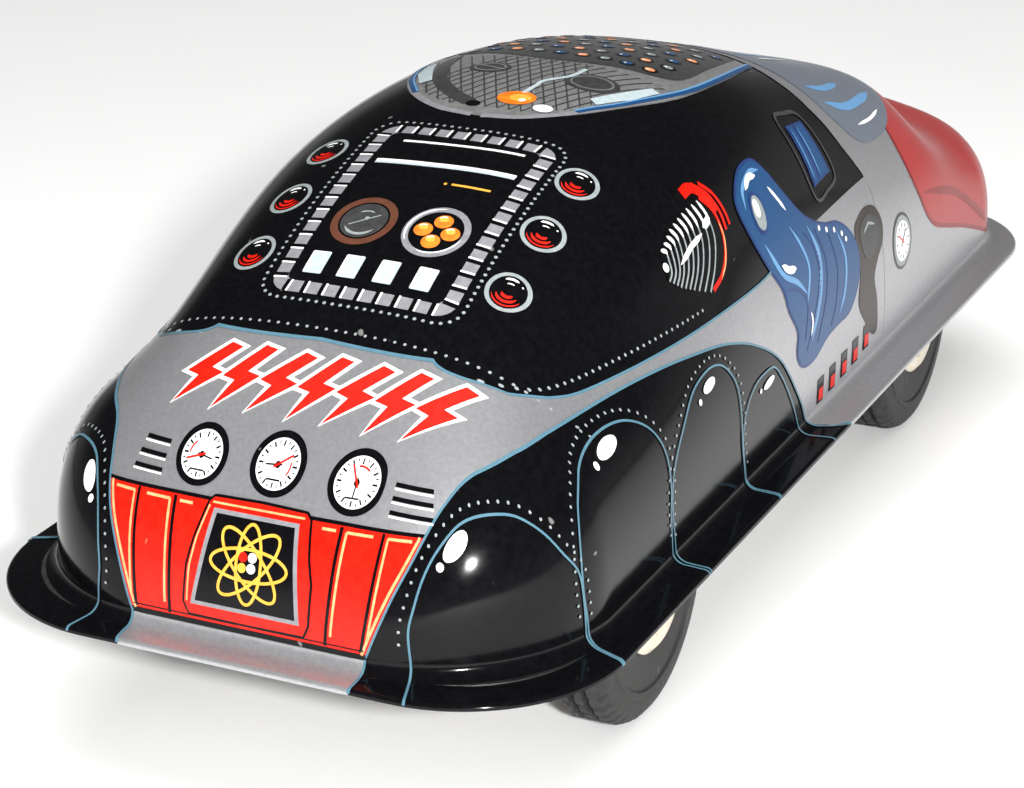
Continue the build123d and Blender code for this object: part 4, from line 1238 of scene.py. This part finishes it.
printed("cockpit_stripe_lights", "light_blue", 6, both(strip(roof, stripe - (0.2, 0), 0.2)))
printed("dome", "orange", 4, [area(roof, circle(2.1, -19.9, 1.95, 0.78, 30), cell=0.8)])
printed("dome_light", "amber", 5, [area(roof, circle(2.5, -19.9, 1.1, 0.7, 24), cell=0.8)])
printed("dome_glints", "white", 6,
        [dots(roof, [(2.9, -20.4)], 0.34, 12), area(roof, circle(5.5, -21.4, 1.0, 0.75, 22), cell=0.8)])
printed("stem", "pale", 4,
        [strip(roof, smooth([(2.2, -18.6), (2.5, -16.4), (2.7, -14.9), (4.4, -12.5), (4.8, -9.8)]), 0.5)])
printed("dark_dot", "black", 4, [area(roof, circle(-1.4, -22.2, 0.75, 0.8, 18), cell=0.8)])
small_blue, small_orange, small_dark, small_white = [], [], [], []
for row, x in enumerate((-4.6, -1.6, 1.5, 4.7, 8.0, 11.4)):
    for k in range(-4, 5):
        u = k * 2.4 + (0.4 if row % 2 else -0.3)
        place = small_blue if (row + k) % 3 == 0 else small_orange if (row + k) % 3 == 1 else small_dark
        place.append((u, x))
        small_white.append((u - 0.15, x - 0.2))
printed("roof_lamp_wells", "black", 4, [dots(roof, small_blue + small_orange + small_dark, 0.85, 14)])
printed("roof_blue_lamps", "blue", 5, [dots(roof, small_blue, 0.58, 12)])
printed("roof_orange_lamps", "peach", 5, [dots(roof, small_orange, 0.52, 12)])
printed("roof_grey_lamps", "line_grey", 5, [dots(roof, small_dark, 0.5, 12)])
printed("roof_glints", "white", 6, [dots(roof, small_white, 0.14, 8)])

# ---------------------------------------------------------------- tyres

TYRE_SEGMENTS = 96


def tyre(node, body):
    """A turned tyre with tread blocks, a raised sidewall ring and a rounded bead."""
    low, high = (np.array(c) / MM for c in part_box(node))
    centre, outer = (low + high) / 2, (high[0] - low[0]) / 2
    half, side = (high[1] - low[1]) / 2, 1 if low[1] > 0 else -1
    bead = 6.02
    # Across the section from the inner bead to the outer one: offset along the axle, radius, tread share
    section = [
        (-half + 0.1, bead, 0), (-half, bead + 0.5, 0), (-half, outer - 2.2, 0),
        (-half + 0.35, outer - 1.0, 0), (-half + 0.9, outer - 0.3, 1), (-half + 1.5, outer, 1),
        (-1.05, outer, 1), (-0.9, outer - 0.55, 0), (-0.55, outer - 0.55, 0),
        (-0.4, outer, 1), (0.4, outer, 1), (0.55, outer - 0.55, 0), (0.9, outer - 0.55, 0), (1.05, outer, 1),
        (half - 1.5, outer, 1), (half - 0.9, outer - 0.3, 1), (half - 0.35, outer - 1.0, 0),
        (half - 0.2, outer - 2.0, 0), (half - 0.2, outer - 2.6, 0), (half, outer - 2.8, 0),
        (half, outer - 3.2, 0), (half - 0.2, outer - 3.4, 0),
        (half - 0.2, bead + 0.5, 0), (half - 0.35, bead, 0),
    ]
    vertices, faces, m = [], [], len(section)
    for k in range(TYRE_SEGMENTS * 2):
        turn = math.pi * k / TYRE_SEGMENTS
        notch = 0.3 if k % 4 == 0 else 0.0
        for offset, radius, tread in section:
            r = radius - notch * tread
            vertices.append((centre[0] + r * math.cos(turn), centre[1] + side * offset,
                             centre[2] + r * math.sin(turn)))
        for i in range(m):
            j, n = (i + 1) % m, ((k + 1) % (TYRE_SEGMENTS * 2)) * m
            face = (k * m + i, k * m + j, n + j, n + i)
            faces.append(face if side > 0 else tuple(reversed(face)))
    made = new_mesh(node + "_moulded", vertices, faces, [METAL["black_rubber"]])
    made.data.set_sharp_from_angle(angle=math.radians(32))
    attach(made, body)
    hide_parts(node)


for place in ("rear", "front"):
    for hand in ("left", "right"):
        tyre(f"{place}_{hand}_tyre", f"{place}_wheels")

# ---------------------------------------------------------------- floor, light and camera

FLOOR_HALF = 1.6


def floor_material():
    made = bpy.data.materials.new("floor_paper")
    made.use_nodes = True
    nodes, links = made.node_tree.nodes, made.node_tree.links
    shader = nodes["Principled BSDF"]
    noise = nodes.new("ShaderNodeTexNoise")
    noise.inputs["Scale"].default_value = 40
    ramp = nodes.new("ShaderNodeValToRGB")
    ramp.color_ramp.elements[0].color = (0.86, 0.855, 0.85, 1)
    ramp.color_ramp.elements[1].color = (0.9, 0.895, 0.89, 1)
    links.new(noise.outputs["Fac"], ramp.inputs["Fac"])
    links.new(ramp.outputs["Color"], shader.inputs["Base Color"])
    shader.inputs["Roughness"].default_value = 0.7
    shader.inputs["Specular IOR Level"].default_value = 0.2
    return made


floor = new_mesh("floor", np.array([(-1, -1, 0), (1, -1, 0), (1, 1, 0), (-1, 1, 0)]) * FLOOR_HALF / MM,
                 [(0, 1, 2, 3)], [floor_material()])
floor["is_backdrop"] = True

world = bpy.data.worlds.new("studio")
bpy.context.scene.world = world
world.use_nodes = True
sky, sky_links = world.node_tree.nodes, world.node_tree.links
where = sky.new("ShaderNodeTexCoord")
split = sky.new("ShaderNodeSeparateXYZ")
sky_links.new(where.outputs["Generated"], split.inputs["Vector"])
sky_ramp = sky.new("ShaderNodeValToRGB")
sky_ramp.color_ramp.elements[0].position = 0.0
sky_ramp.color_ramp.elements[0].color = (0.34, 0.34, 0.34, 1)
sky_ramp.color_ramp.elements[1].position = 0.9
sky_ramp.color_ramp.elements[1].color = (0.04, 0.04, 0.04, 1)
for position, value in ((0.12, 0.24), (0.24, 0.07), (0.45, 0.035)):
    stop = sky_ramp.color_ramp.elements.new(position)
    stop.color = (value, value, value, 1)
sky_links.new(split.outputs["Z"], sky_ramp.inputs["Fac"])
sky_links.new(sky_ramp.outputs["Color"], sky["Background"].inputs["Color"])
sky["Background"].inputs["Strength"].default_value = 1.0


def lamp(name, where, towards, size, power, glossy=True, shape="SQUARE"):
    light = bpy.data.lights.new(name, "AREA")
    light.shape, light.size, light.energy = shape, size, power
    made = bpy.data.objects.new(name, light)
    made.location = where
    made.rotation_euler = (Vector(towards) - Vector(where)).to_track_quat("-Z", "Y").to_euler()
    made.visible_glossy = glossy
    bpy.context.scene.collection.objects.link(made)
    return made


lamp("overhead", (0.05, 0.0, 0.75), (0, 0, 0), 0.9, 6.3, glossy=False)
lamp("front_fill", (-0.5, -0.3, 0.45), (0, 0, 0.03), 0.3, 1.0, glossy=False)
lamp("flash", (-0.36, -0.24, 0.2), (-0.05, 0, 0.03), 0.03, 3.0, shape="DISK")

CAMERA_AT = (-0.2521, -0.1129, 0.1244)
YAW, PITCH, ROLL = (math.radians(v) for v in (25.67, 21.83, 0.53))
ahead = Vector((math.cos(PITCH) * math.cos(YAW), math.cos(PITCH) * math.sin(YAW), -math.sin(PITCH)))
right = ahead.cross(Vector((0, 0, 1))).normalized()
down = ahead.cross(right)
right, down = (
    right * math.cos(ROLL) + down * math.sin(ROLL),
    down * math.cos(ROLL) - right * math.sin(ROLL),
)
camera = bpy.data.objects.new("camera", bpy.data.cameras.new("camera"))
camera.matrix_world = Matrix.Translation(CAMERA_AT) @ Matrix((right, -down, -ahead)).transposed().to_4x4()
camera.data.lens = 98.44
camera.data.clip_start = 0.01
bpy.context.scene.collection.objects.link(camera)
bpy.context.scene.camera = camera

bpy.context.scene.view_settings.view_transform = "Standard"

low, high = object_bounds()
